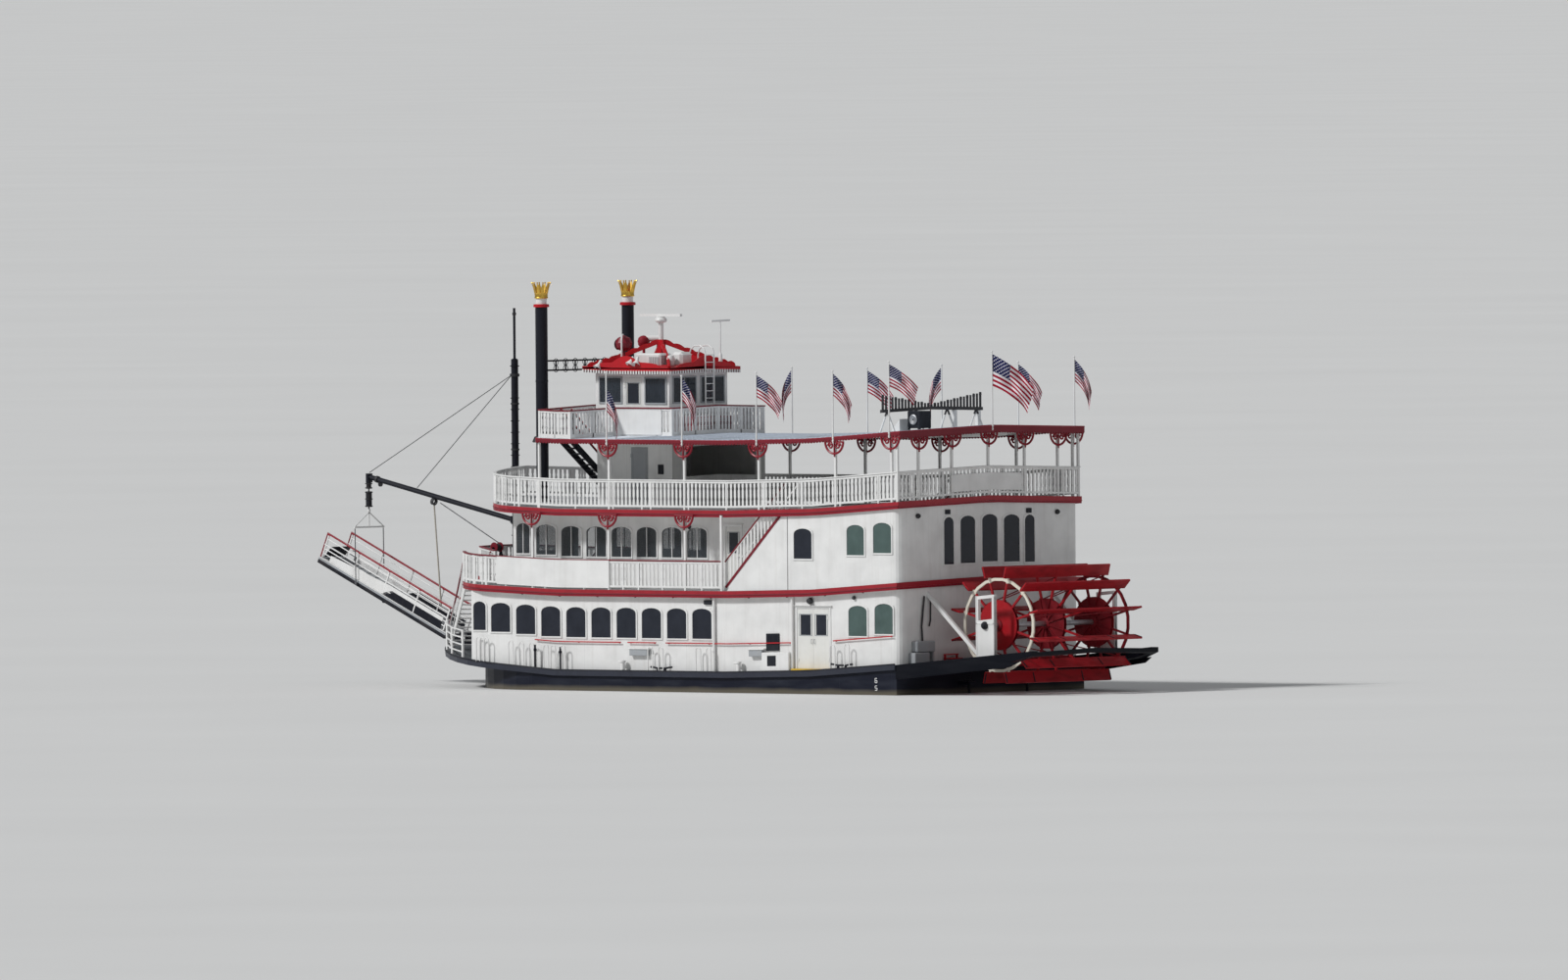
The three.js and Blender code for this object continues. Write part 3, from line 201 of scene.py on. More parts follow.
def block(low: Sequence[float], high: Sequence[float], bevel: float = 0.0) -> Piece:
    """A block between two corners, with its edges bevelled.

    Args:
        low: its lowest corner.
        high: its highest corner.
        bevel: the width of the bevel, 0 for none.

    Returns:
        The piece.
    """
    deselect()
    middle = [(a + b) / 2 for a, b in zip(low, high)]
    size = [abs(b - a) for a, b in zip(low, high)]
    bpy.ops.mesh.primitive_cube_add(size=1, location=middle)
    piece = bpy.context.object
    piece.scale = size
    settle(piece)
    if bevel > 0:
        in_edit(piece, lambda: bpy.ops.mesh.bevel(offset=bevel, segments=1, affect="EDGES"))
    return piece


def bar(start: Sequence[float], end: Sequence[float], wide: float, deep: float,
        bevel: float = 0.0) -> Piece:
    """A straight bar between two points: wide is level, deep is upright.

    Args:
        start: the middle of its first end.
        end: the middle of its other end.
        wide: its level width.
        deep: its other width.
        bevel: the width of the bevel, 0 for none.

    Returns:
        The piece.
    """
    first, last = Vector(start), Vector(end)
    length = (last - first).length
    piece = block((-wide / 2, -deep / 2, 0), (wide / 2, deep / 2, length), bevel)
    along = (last - first).normalized()
    level = UPWARD.cross(along)
    level = level.normalized() if level.length > 0.001 else Vector((1, 0, 0))
    turn = Matrix((level, along.cross(level), along)).transposed().to_4x4()
    piece.data.transform(Matrix.Translation(first) @ turn)
    return piece


def rod(points: Iterable[Sequence[float]], radius: float, sides: int = 8,
        closed: bool = False) -> Piece:
    """A round rod along points, bevelled from a curve and made a mesh.

    Args:
        points: the points that it follows.
        radius: its radius.
        sides: how many sides its section has, an even number.
        closed: whether its ends meet.

    Returns:
        The piece.
    """
    deselect()
    places = [Vector(point) for point in points]
    curve = bpy.data.curves.new("rod", "CURVE")
    curve.dimensions = "3D"
    curve.bevel_depth = radius
    curve.bevel_resolution = max(0, sides // 2 - 2)
    curve.use_fill_caps = not closed
    spline = curve.splines.new("POLY")
    spline.points.add(len(places) - 1)
    for spot, place in zip(spline.points, places):
        spot.co = (*place, 1)
    spline.use_cyclic_u = closed
    piece = bpy.data.objects.new("rod", curve)
    bpy.context.scene.collection.objects.link(piece)
    only(piece)
    bpy.ops.object.convert(target="MESH")
    return outward(bpy.context.object)


def slab(outline: Sequence[Sequence[float]], push: Sequence[float]) -> Piece:
    """A plate: a ring of points made a face and extruded.

    Args:
        outline: its corners in order, on one plane.
        push: the extrusion, as a vector.

    Returns:
        The piece.
    """
    deselect()
    bpy.ops.mesh.primitive_circle_add(vertices=len(outline), radius=1, fill_type="NGON")
    piece = bpy.context.object
    for vertex, point in zip(piece.data.vertices, outline):
        vertex.co = point
    in_edit(piece, lambda: bpy.ops.mesh.extrude_region_move(
        TRANSFORM_OT_translate={"value": tuple(push)}))
    return outward(piece)


def band(outer: Sequence[Sequence[float]], inner: Sequence[Sequence[float]],
         push: Sequence[float]) -> Piece:
    """A flat ring between two outlines of as many points, extruded.

    Args:
        outer: the outer outline.
        inner: the inner outline.
        push: the extrusion, as a vector.

    Returns:
        The piece.
    """
    deselect()
    rings = []
    for outline in (outer, inner):
        bpy.ops.mesh.primitive_circle_add(vertices=len(outline), radius=1, fill_type="NOTHING")
        ring = bpy.context.object
        for vertex, point in zip(ring.data.vertices, outline):
            vertex.co = point
        rings.append(ring)
    piece = joined(rings)

    def work() -> None:
        """Bridges the two rings and gives them depth."""
        bpy.ops.mesh.bridge_edge_loops()
        bpy.ops.mesh.select_all(action="SELECT")
        bpy.ops.mesh.extrude_region_move(TRANSFORM_OT_translate={"value": tuple(push)})

    in_edit(piece, work)
    return outward(piece)


def spun(profile: Sequence[Flat], centre: Point, axis: Point = (0, 0, 1),
         steps: int = 24) -> Piece:
    """A turned shape from radius and height pairs, spun round an axis through a point.

    Args:
        profile: pairs of radius and height along the axis.
        centre: a point on the axis, where the height is 0.
        axis: the axis.
        steps: how many steps the spin has.

    Returns:
        The piece.
    """
    deselect()
    bpy.ops.mesh.primitive_plane_add(size=1)
    piece = bpy.context.object

    def work() -> None:
        """Draws the profile as a chain of edges from one point, and spins it."""
        bpy.ops.mesh.merge(type="CENTER")
        bpy.ops.transform.translate(value=(profile[0][0], 0, profile[0][1]))
        for (r0, z0), (r1, z1) in zip(profile, profile[1:]):
            bpy.ops.mesh.extrude_region_move(TRANSFORM_OT_translate={"value": (r1 - r0, 0, z1 - z0)})
        bpy.ops.mesh.select_all(action="SELECT")
        bpy.ops.mesh.spin(steps=steps, angle=2 * math.pi, center=(0, 0, 0), axis=(0, 0, 1))

    in_edit(piece, work)
    turn = UPWARD.rotation_difference(Vector(axis)).to_matrix().to_4x4()
    piece.data.transform(Matrix.Translation(centre) @ turn)
    return outward(piece)


def collar(inner: float, outer: float, half: float, centre: Point, axis: Point = (0, 0, 1),
           steps: int = 24) -> Piece:
    """A flat ring round an axis.

    Args:
        inner: its inner radius.
        outer: its outer radius.
        half: half of its height along the axis.
        centre: its middle.
        axis: the axis.
        steps: how many steps its spin has.

    Returns:
        The piece.
    """
    return spun([(inner, -half), (outer, -half), (outer, half), (inner, half)], centre, axis, steps)


def copies(piece: Piece, places: Iterable[Matrix], keep: bool = False
           ) -> list[Piece]:
    """Copies of a piece, each with its own mesh.

    Args:
        piece: what is copied.
        places: one matrix for each copy.
        keep: whether the first one stays too.

    Returns:
        The copies.
    """
    made = []
    for place in places:
        other = piece.copy()
        other.data = piece.data.copy()
        other.data.transform(place)
        bpy.context.scene.collection.objects.link(other)
        made.append(other)
    if not keep:
        bpy.data.objects.remove(piece)
    return made


def joined(parts: Sequence[Piece]) -> Piece:
    """Several pieces as one object.

    Args:
        parts: the pieces.

    Returns:
        The piece that they make.
    """
    deselect()
    for part in parts:
        part.select_set(True)
    bpy.context.view_layer.objects.active = parts[0]
    if len(parts) > 1:
        bpy.ops.object.join()
    return bpy.context.object


def placed(parts: Piece | list[Piece], name: str, finish: "Finish",
           body: str = SHIP, replaces: Sequence[str] = (),
           smooth: float = 0.6) -> Piece:
    """Names, dresses and rides a finished piece.

    Args:
        parts: the piece, in place, or the parts that are joined into it.
        name: its name.
        finish: what it is painted with.
        body: the body that it moves with.
        replaces: the CAD nodes that it stands for.
        smooth: the angle in radians up to which edges are shaded smooth.

    Returns:
        The piece.
    """
    piece = settle(joined(parts) if isinstance(parts, list) else parts)
    piece.name = name
    piece.data.name = name
    piece.data.materials.clear()
    piece.data.materials.append(finish.material())
    if smooth > 0:
        bpy.ops.object.shade_smooth_by_angle(angle=smooth)
    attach(piece, body)
    if replaces:
        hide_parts(*replaces)
    LOG.info("%s: %d faces", name, len(piece.data.polygons))
    return piece


def shifted(x: float, y: float, z: float, turn: float = 0.0) -> Matrix:
    """A place: a point, and a turn about the upright axis in radians."""
    return Matrix.Translation((x, y, z)) @ Matrix.Rotation(turn, 4, "Z")


# Finishes


def toned(colour: Colour, factor: float) -> Colour:
    """A colour made darker by a factor."""
    return tuple(factor * value for value in colour)


class Graph:
    """A material's node tree, with short calls for the nodes that the finishes use."""

    def __init__(self, name: str) -> None:
        """Starts an empty material with its shader.

        Args:
            name: the material's name.
        """
        self.material = bpy.data.materials.new(name)
        self.material.use_nodes = True
        self.tree = self.material.node_tree
        self.shader = self.tree.nodes["Principled BSDF"]
        self.coordinates = self.tree.nodes.new("ShaderNodeTexCoord")

    def feed(self, socket: Socket, value: object) -> None:
        """Links a socket to an output, or sets its value.

        Args:
            socket: the input.
            value: an output of another node, or a plain value.
        """
        if isinstance(value, Socket):
            self.tree.links.new(value, socket)
        elif isinstance(value, tuple) and len(value) == 3 and socket.type == "RGBA":
            socket.default_value = (*value, 1.0)
        else:
            socket.default_value = value

    def node(self, kind: str, inputs: dict | None = None, **settings: object) -> bpy.types.Node:
        """Adds a node.

        Args:
            kind: the node's type name.
            inputs: values or outputs for its inputs, by name or index.
            settings: its properties.

        Returns:
            The node.
        """
        made = self.tree.nodes.new(kind)
        for name, value in settings.items():
            setattr(made, name, value)
        for name, value in (inputs or {}).items():
            self.feed(made.inputs[name], value)
        return made

    def place(self, scale: Point = (1, 1, 1)) -> Socket:
        """Object coordinates, stretched."""
        return self.node("ShaderNodeMapping", {"Vector": self.coordinates.outputs["Object"],
                                               "Scale": scale}).outputs[0]

    def noise(self, scale: float, stretch: Point = (1, 1, 1), detail: float = 3.0
              ) -> Socket:
        """Noise in object coordinates."""
        return self.node("ShaderNodeTexNoise", {"Vector": self.place(stretch), "Scale": scale,
                                                "Detail": detail}).outputs[0]

    def ramp(self, value: object, low: float, high: float, start: float = 0.0, end: float = 1.0
             ) -> Socket:
        """Maps low..high to start..end, clamped."""
        return self.node("ShaderNodeMapRange", {"Value": value, "From Min": low, "From Max": high,
                                                "To Min": start, "To Max": end}).outputs[0]

    def sum(self, operation: str, first: object, second: object = 0.0) -> Socket:
        """One arithmetic step."""
        return self.node("ShaderNodeMath", {0: first, 1: second}, operation=operation).outputs[0]

    def mix(self, factor: object, first: object, second: object) -> Socket:
        """A mix of two colours."""
        return self.node("ShaderNodeMix", {0: factor, 6: first, 7: second},
                         data_type="RGBA").outputs[2]

    def axes(self) -> tuple[Socket, ...]:
        """X, Y and Z of the object coordinates."""
        parts = self.node("ShaderNodeSeparateXYZ", {0: self.coordinates.outputs["Object"]})
        return tuple(parts.outputs)

    def facing(self) -> tuple[Socket, ...]:
        """X, Y and Z of the surface's normal, in the object's own space."""
        parts = self.node("ShaderNodeSeparateXYZ", {0: self.coordinates.outputs["Normal"]})
        return tuple(parts.outputs)

    def bump(self, height: object, distance: float, strength: float = 1.0) -> None:
        """Gives the shader a bump from a height."""
        made = self.node("ShaderNodeBump", {"Height": height, "Distance": distance,
                                            "Strength": strength})
        self.tree.links.new(made.outputs[0], self.shader.inputs["Normal"])

    def set(self, **values: object) -> None:
        """Sets the shader's inputs, by names with _ for spaces."""
        for name, value in values.items():
            self.feed(self.shader.inputs[name.replace("_", " ")], value)


class Finish:
    """What a piece is painted with or made of. Each finish makes its material once."""

    made: dict[object, bpy.types.Material] = {}

    def material(self) -> bpy.types.Material:
        """The finish's material, made at its first use."""
        if self not in Finish.made:
            graph = Graph(type(self).__name__ + "_" + self.name)
            self.build(graph)
            Finish.made[self] = graph.material
        return Finish.made[self]

    def build(self, graph: Graph) -> None:
        """Fills the material's nodes.

        Args:
            graph: the node tree to fill.
        """
        raise NotImplementedError


@dataclass(frozen=True)
class Paint(Finish):
    """Ship's paint: mottled, with dirt that runs down, brush marks and faint plate seams."""

    name: str
    colour: Colour
    roughness: float = 0.4
    dirt: Colour = (0.32, 0.27, 0.22)
    dirty: float = 0.25
    seams: float = 0.0
    shine: float = 0.5

    def build(self, graph: Graph) -> None:
        """Fills the material's nodes."""
        mottle = graph.noise(1.3, detail=4)
        shade = toned(self.colour, 0.86)
        base = graph.mix(graph.ramp(mottle, 0.35, 0.75), self.colour, shade)
        streaks = graph.noise(2.6, (2.2, 2.2, 0.16), detail=6)
        speckle = graph.noise(30, detail=3)
        runs = graph.sum("MULTIPLY", graph.ramp(streaks, 0.5, 0.8, 0, self.dirty),
                         graph.ramp(speckle, 0.2, 0.7, 0.5, 1))
        colour = graph.mix(runs, base, self.dirt)
        height = graph.sum("ADD", graph.sum("MULTIPLY", speckle, 0.25),
                           graph.sum("MULTIPLY", graph.noise(0.9, detail=2), 2.0))
        if self.seams > 0:
            x, _, _ = graph.axes()
            plate = graph.sum("PINGPONG", x, self.seams)
            seam = graph.ramp(plate, 0.0, 0.012)
            colour = graph.mix(graph.sum("MULTIPLY", graph.sum("SUBTRACT", 1.0, seam), 0.35),
                               colour, toned(self.colour, 0.55))
            height = graph.sum("ADD", height, graph.sum("MULTIPLY", seam, 0.8))
        graph.set(Base_Color=colour, Specular_IOR_Level=self.shine,
                  Roughness=graph.ramp(mottle, 0.3, 0.7, self.roughness - 0.06, self.roughness + 0.1))
        graph.bump(height, 0.004, 0.5)


@dataclass(frozen=True)
class DeckPaint(Finish):
    """A deck: non-slip paint on top, an edge in its own colour and a white underside."""

    name: str
    top: Colour
    edge: Colour
    under: Colour = (0.78, 0.77, 0.74)

    def build(self, graph: Graph) -> None:
        """Fills the material's nodes."""
        _, _, up = graph.facing()
        wear = graph.noise(1.1, detail=5)
        grit = graph.noise(90, detail=2)
        worn = toned(self.top, 0.72)
        top = graph.mix(graph.ramp(wear, 0.4, 0.7), self.top, worn)
        edge = graph.mix(graph.ramp(graph.noise(3.0, (1, 1, 0.3), 5), 0.45, 0.8, 0, 0.6),
                         self.edge, toned(self.edge, 0.62))
        below = graph.mix(graph.ramp(wear, 0.4, 0.8), self.under, toned(self.under, 0.85))
        sides = graph.mix(graph.ramp(up, -0.6, -0.5, 1, 0), edge, below)
        graph.set(Base_Color=graph.mix(graph.ramp(up, 0.5, 0.6), sides, top),
                  Roughness=graph.ramp(up, 0.4, 0.6, 0.4, 0.72))
        graph.bump(grit, 0.003, 0.5)


@dataclass(frozen=True)
class HullPaint(Finish):
    """Navy topsides with rubbed plates, a scum line and dark bottom paint."""

    name: str
    colour: Colour
    bottom: Colour
    line: float = WATERLINE
    rubbed: Colour = (0.035, 0.040, 0.055)

    def build(self, graph: Graph) -> None:
        """Fills the material's nodes."""
        x, _, z = graph.axes()
        rub = graph.noise(1.6, (0.4, 0.4, 2.0), 6)
        top = graph.mix(graph.ramp(rub, 0.45, 0.75, 0, 0.55), self.colour, self.rubbed)
        wave = graph.sum("MULTIPLY", graph.noise(0.8, (1, 1, 0.1), 4), 0.12)
        depth = graph.sum("SUBTRACT", z, wave)
        scum = graph.mix(graph.ramp(depth, self.line + 0.02, self.line + 0.16, 0.65, 0), top,
                         (0.16, 0.14, 0.10))
        wet = graph.ramp(z, self.line - 0.02, self.line, 1, 0)
        plate = graph.ramp(graph.sum("PINGPONG", x, 1.22), 0.0, 0.015)
        graph.set(Base_Color=graph.mix(wet, scum, self.bottom), Specular_IOR_Level=0.15,
                  Roughness=graph.ramp(rub, 0.3, 0.8, 0.36, 0.6))
        graph.bump(graph.sum("ADD", graph.sum("MULTIPLY", plate, 0.6), graph.noise(0.7, detail=3)),
                   0.012, 0.6)


@dataclass(frozen=True)
class WheelPaint(Finish):
    """Wheel paint: wet and stained low down by its own turning, with one ring in white if asked."""

    name: str
    colour: Colour
    ring: Colour | None = None
    centre: Flat = SHAFT
    inner: float = 1.5
    outer: float = 1.68

    def build(self, graph: Graph) -> None:
        """Fills the material's nodes."""
        x, _, z = graph.axes()
        dx = graph.sum("SUBTRACT", x, self.centre[0])
        dz = graph.sum("SUBTRACT", z, self.centre[1])
        reach = graph.sum("SQRT", graph.sum("ADD", graph.sum("MULTIPLY", dx, dx),
                                            graph.sum("MULTIPLY", dz, dz)))
        stain = graph.noise(5, (1, 0.35, 1), 6)
        worn = graph.ramp(stain, 0.48, 0.72, 0, 0.7)
        soaked = graph.ramp(reach, 1.1, 2.1, 0.25, 1)
        colour = graph.mix(graph.sum("MULTIPLY", worn, soaked), self.colour,
                           toned(self.colour, 0.38))
        if self.ring:
            inside = graph.ramp(reach, self.inner - 0.01, self.inner)
            outside = graph.ramp(reach, self.outer, self.outer + 0.01, 1, 0)
            colour = graph.mix(graph.sum("MULTIPLY", inside, outside), colour, self.ring)
        graph.set(Base_Color=colour, Roughness=graph.ramp(stain, 0.3, 0.7, 0.35, 0.6),
                  Specular_IOR_Level=0.3)
        graph.bump(graph.noise(14, (1, 0.2, 1), 5), 0.004, 0.5)


@dataclass(frozen=True)
class Glass(Finish):
    """A window pane: dark and glossy, or clear enough to see through."""

    name: str
    colour: Colour
    clear: float = 0.0
    shine: float = 0.3

    def build(self, graph: Graph) -> None:
        """Fills the material's nodes."""
        smear = graph.noise(1.7, detail=3)
        graph.set(Base_Color=graph.mix(graph.ramp(smear, 0.3, 0.8), self.colour,
                                       tuple(1.35 * c + 0.01 for c in self.colour)),
                  Roughness=graph.ramp(smear, 0.3, 0.8, 0.03, 0.14), Specular_IOR_Level=self.shine)
        if self.clear > 0:
            graph.set(Alpha=1 - self.clear)
        graph.bump(graph.noise(0.6, detail=1), 0.01, 0.15)


@dataclass(frozen=True)
class Metal(Finish):
    """Bare or painted metal: gold leaf, steel, brass or blackened iron."""

    name: str
    colour: Colour
    roughness: float = 0.3
    metallic: float = 1.0

    def build(self, graph: Graph) -> None:
        """Fills the material's nodes."""
        cloud = graph.noise(4, detail=5)
        dull = toned(self.colour, 0.6)
        graph.set(Base_Color=graph.mix(graph.ramp(cloud, 0.45, 0.8), self.colour, dull),
                  Metallic=self.metallic,
                  Roughness=graph.ramp(cloud, 0.3, 0.8, self.roughness, self.roughness + 0.25))
        graph.bump(graph.noise(35, detail=3), 0.002, 0.4)


@dataclass(frozen=True)
class Rope(Finish):
    """Laid rope: slanting strands along its length."""

    name: str
    colour: Colour
    pitch: float = 60.0

    def build(self, graph: Graph) -> None:
        """Fills the material's nodes."""
        strands = graph.node("ShaderNodeTexWave", {"Vector": graph.place((1, 1, 1)),
                                                   "Scale": self.pitch, "Distortion": 1.5},
                             bands_direction="DIAGONAL").outputs[1]
        graph.set(Base_Color=graph.mix(strands, toned(self.colour, 0.6), self.colour),
                  Roughness=0.85)
        graph.bump(strands, 0.003, 0.8)


@dataclass(frozen=True)
class FlagCloth(Finish):
    """Woven flag cloth: thirteen stripes and a starred canton, on the piece's own UV map."""

    name: str
    red: Colour = (0.36, 0.003, 0.024)
    white: Colour = (0.88, 0.86, 0.89)
    blue: Colour = (0.010, 0.014, 0.085)
    stripes: int = 13
    canton: Flat = (0.4, 7 / 13)

    def build(self, graph: Graph) -> None:
        """Fills the material's nodes."""
        parts = graph.node("ShaderNodeSeparateXYZ", {0: graph.coordinates.outputs["UV"]})
        u, v = parts.outputs[0], parts.outputs[1]
        row = graph.sum("FLOOR", graph.sum("MULTIPLY", v, float(self.stripes)))
        odd = graph.sum("MODULO", row, 2.0)
        field_colour = graph.mix(odd, self.red, self.white)
        left = graph.sum("LESS_THAN", u, self.canton[0])
        high = graph.sum("GREATER_THAN", v, 1 - self.canton[1])
        across = graph.sum("MULTIPLY", u, 5.5 / self.canton[0])
        down = graph.sum("MULTIPLY", graph.sum("SUBTRACT", 1.0, v), 4.5 / self.canton[1])
        stars = []
        for shift in (0.5, 0.0):
            du = graph.sum("SUBTRACT", graph.sum("FRACT", graph.sum("ADD", across, shift)), 0.5)
            dv = graph.sum("SUBTRACT", graph.sum("FRACT", graph.sum("ADD", down, shift)), 0.5)
            far = graph.sum("ADD", graph.sum("MULTIPLY", du, du), graph.sum("MULTIPLY", dv, dv))
            stars.append(graph.sum("LESS_THAN", far, 0.026))
        star = graph.sum("MAXIMUM", *stars)
        canton = graph.mix(star, self.blue, self.white)
        weave = graph.noise(220, detail=1)
        graph.set(Base_Color=graph.mix(graph.sum("MULTIPLY", left, high), field_colour, canton),
                  Roughness=0.8, Specular_IOR_Level=0.2)
        graph.bump(weave, 0.001, 0.4)


@dataclass(frozen=True)
class Banded(Finish):
    """Paint in bands along a direction, for a node with several colours."""

    name: str
    colours: tuple[Colour, ...]
    levels: tuple[float, ...]
    along: Point = (0.0, 0.0, 1.0)

    def build(self, graph: Graph) -> None:
        """Fills the material's nodes."""
        height = graph.node("ShaderNodeVectorMath",
                            {0: graph.coordinates.outputs["Object"], 1: self.along},
                            operation="DOT_PRODUCT").outputs["Value"]
        colour = graph.mix(graph.sum("GREATER_THAN", height, self.levels[0]), *self.colours[:2])
        for level, shade in zip(self.levels[1:], self.colours[2:]):
            colour = graph.mix(graph.sum("GREATER_THAN", height, level), colour, shade)
        mottle = graph.noise(2.2, detail=5)
        graph.set(Base_Color=graph.mix(graph.ramp(mottle, 0.45, 0.8, 0, 0.3), colour, (0.12, 0.10, 0.09)),
                  Roughness=graph.ramp(mottle, 0.3, 0.7, 0.36, 0.55), Specular_IOR_Level=0.3)
        graph.bump(graph.noise(30, detail=3), 0.003, 0.4)


@dataclass(frozen=True)
class Corrugated(Finish):
    """Ribbed roof sheet: pale grey-blue, weathered in the hollows."""

    name: str
    colour: Colour

    def build(self, graph: Graph) -> None:
        """Fills the material's nodes."""
        cloud = graph.noise(0.7, (1.0, 0.4, 1.0), 5)
        spots = graph.noise(8, (1.5, 0.3, 1), 4)
        base = graph.mix(graph.ramp(cloud, 0.35, 0.75), self.colour, toned(self.colour, 0.8))
        graph.set(Base_Color=graph.mix(graph.ramp(spots, 0.58, 0.8, 0, 0.4), base, (0.35, 0.33, 0.30)),
                  Roughness=graph.ramp(cloud, 0.3, 0.7, 0.45, 0.65))
        graph.bump(spots, 0.002, 0.4)


WHITE = Paint("white", (0.80, 0.80, 0.79), 0.38, dirty=0.14)
WALL_WHITE = Paint("wall_white", (0.80, 0.80, 0.79), 0.4, dirty=0.18, seams=2.4)
DOOR_WHITE = Paint("door_white", (0.76, 0.76, 0.73), 0.35, dirty=0.2)
GREY = Paint("grey", (0.36, 0.38, 0.40), 0.5)
RED = Paint("red", (0.50, 0.008, 0.016), 0.4, dirt=(0.16, 0.02, 0.02), dirty=0.4, shine=0.3)
DARK_RED = Paint("dark_red", (0.20, 0.012, 0.024), 0.38, dirt=(0.08, 0.02, 0.02), dirty=0.4, shine=0.3)
CRIMSON = Paint("crimson", (0.27, 0.008, 0.022), 0.4, dirt=(0.12, 0.02, 0.02), dirty=0.3, shine=0.3)
BLACK = Paint("black", (0.010, 0.011, 0.018), 0.4, dirt=(0.05, 0.048, 0.045), dirty=0.25, shine=0.2)
GASKET = Paint("gasket", (0.018, 0.02, 0.027), 0.5, dirt=(0.05, 0.05, 0.05), shine=0.2)
YELLOW = Paint("yellow", (0.72, 0.46, 0.03), 0.5, dirty=0.4)
GOLD = Metal("gold", (0.83, 0.52, 0.10), 0.24)
STEEL = Metal("steel", (0.52, 0.53, 0.55), 0.35)
IRON = Metal("iron", (0.05, 0.05, 0.055), 0.45, 0.6)
ROPE = Rope("rope", (0.62, 0.58, 0.50))
NAVY_HULL = HullPaint("hull", (0.009, 0.011, 0.021), (0.030, 0.025, 0.023))
# Painted shade: the fantail wears a darker copy of the hull paint, standing in for the shadow that it sits
# in.
FANTAIL_PAINTED_SHADE = HullPaint("fantail", (0.003, 0.004, 0.008), (0.02, 0.016, 0.015),
                          rubbed=(0.012, 0.013, 0.018))
MAIN_DECK_PAINT = DeckPaint("main_deck", (0.10, 0.11, 0.12), (0.020, 0.024, 0.040), (0.03, 0.03, 0.04))
DECK_PAINT = DeckPaint("deck", (0.40, 0.41, 0.42), (0.34, 0.008, 0.020))
ROOF_PAINT = DeckPaint("roof", (0.74, 0.80, 0.88), (0.20, 0.012, 0.024))
DARK_GLASS = Glass("dark", (0.006, 0.009, 0.018))
TEAL_GLASS = Glass("teal", (0.055, 0.090, 0.084))
PILOT_GLASS = Glass("pilot", (0.02, 0.028, 0.04), 0.25)
CLEAR_GLASS = Glass("clear", (0.05, 0.06, 0.07), 0.62)
WHEEL_RED = WheelPaint("red", (0.36, 0.006, 0.012))
WHEEL_BOARD = WheelPaint("board", (0.38, 0.006, 0.013))
# Painted shade: a darker copy of the wheel red for the inner discs, the spokes, the braces and the starboard
# spider, which sit in the wheel's shade.
WHEEL_SHADED_RED = WheelPaint("dark", (0.19, 0.006, 0.012))
WHEEL_RINGED = WheelPaint("ringed", (0.32, 0.008, 0.015), (0.74, 0.70, 0.60))
ROOF_SHEET = Corrugated("roof", (0.76, 0.82, 0.90))
FLAG = FlagCloth("flag")
STAGE_PAINT = Banded("stage", ((0.010, 0.011, 0.018), (0.36, 0.38, 0.40), (0.80, 0.80, 0.79),
                               (0.27, 0.008, 0.022)), (-3.60, -3.48, -2.66), (0.4003, 0.0, 0.9164))
HOIST_PAINT = Banded("hoist", ((0.10, 0.10, 0.11), (0.78, 0.78, 0.77), (0.014, 0.015, 0.02)), (6.38, 6.9))
ORGAN_PAINT = Banded("organ", ((0.78, 0.78, 0.77), (0.04, 0.04, 0.045)), (10.52,))


# The camera, the floor and the light


@dataclass
class Studio:
    """The camera at the photograph's angle, a pale floor at the waterline, and soft light."""

    target: Point = (4.866, -4.90, 8.005)
    distance: float = 1300.0
    azimuth: float = 42.324
    pitch: float = 1.139
    roll: float = -0.465
    lens: float = 862.74
    floor_half: float = 4000.0

    def camera(self) -> None:
        """Creates the camera and makes it the scene's."""
        data = bpy.data.cameras.new("camera")
        data.lens = self.lens
        data.sensor_width = 36.0
        data.clip_end = 9000.0
        camera = bpy.data.objects.new("camera", data)
        bpy.context.scene.collection.objects.link(camera)
        turn, tip = math.radians(self.azimuth), math.radians(self.pitch)
        back = Vector((math.sin(turn) * math.cos(tip), -math.cos(turn) * math.cos(tip), math.sin(tip)))
        look = (-back).to_track_quat("-Z", "Y").to_matrix().to_4x4()
        place = Matrix.Translation(Vector(self.target) + back * self.distance)
        camera.matrix_world = place @ look @ Matrix.Rotation(math.radians(self.roll), 4, "Z")
        bpy.context.scene.camera = camera

    def floor(self) -> None:
        """Lays the pale floor at the waterline."""
        deselect()
        bpy.ops.mesh.primitive_plane_add(size=2 * self.floor_half, location=(0, 0, WATERLINE))
        ground = settle(bpy.context.object)
        ground.name = "floor"
        graph = Graph("floor")
        graph.set(Base_Color=graph.mix(graph.noise(0.05), (0.72, 0.72, 0.71), (0.78, 0.78, 0.77)),
                  Roughness=0.8)
        ground.data.materials.append(graph.material)

    def lights(self) -> None:
        """Hangs a wide soft key light to port of the bow, and a pale sky all round."""
        for name, energy, angle, lean in (("key", 2.45, 9.0, (48.0, 0.0, -28.0)),
                                          ("fill", 0.12, 60.0, (62.0, 0.0, 70.0))):
            data = bpy.data.lights.new(name, "SUN")
            data.energy = energy
            data.angle = math.radians(angle)
            light = bpy.data.objects.new(name, data)
            light.rotation_euler = [math.radians(value) for value in lean]
            bpy.context.scene.collection.objects.link(light)
        world = bpy.data.worlds.new("sky")
        world.use_nodes = True
        world.node_tree.nodes["Background"].inputs[0].default_value = (0.86, 0.89, 0.93, 1)
        world.node_tree.nodes["Background"].inputs[1].default_value = 0.28
        bpy.context.scene.world = world

    def build(self) -> None:
        """Sets up all of it."""
        self.camera()
        self.floor()
        self.lights()


# Runs along the decks


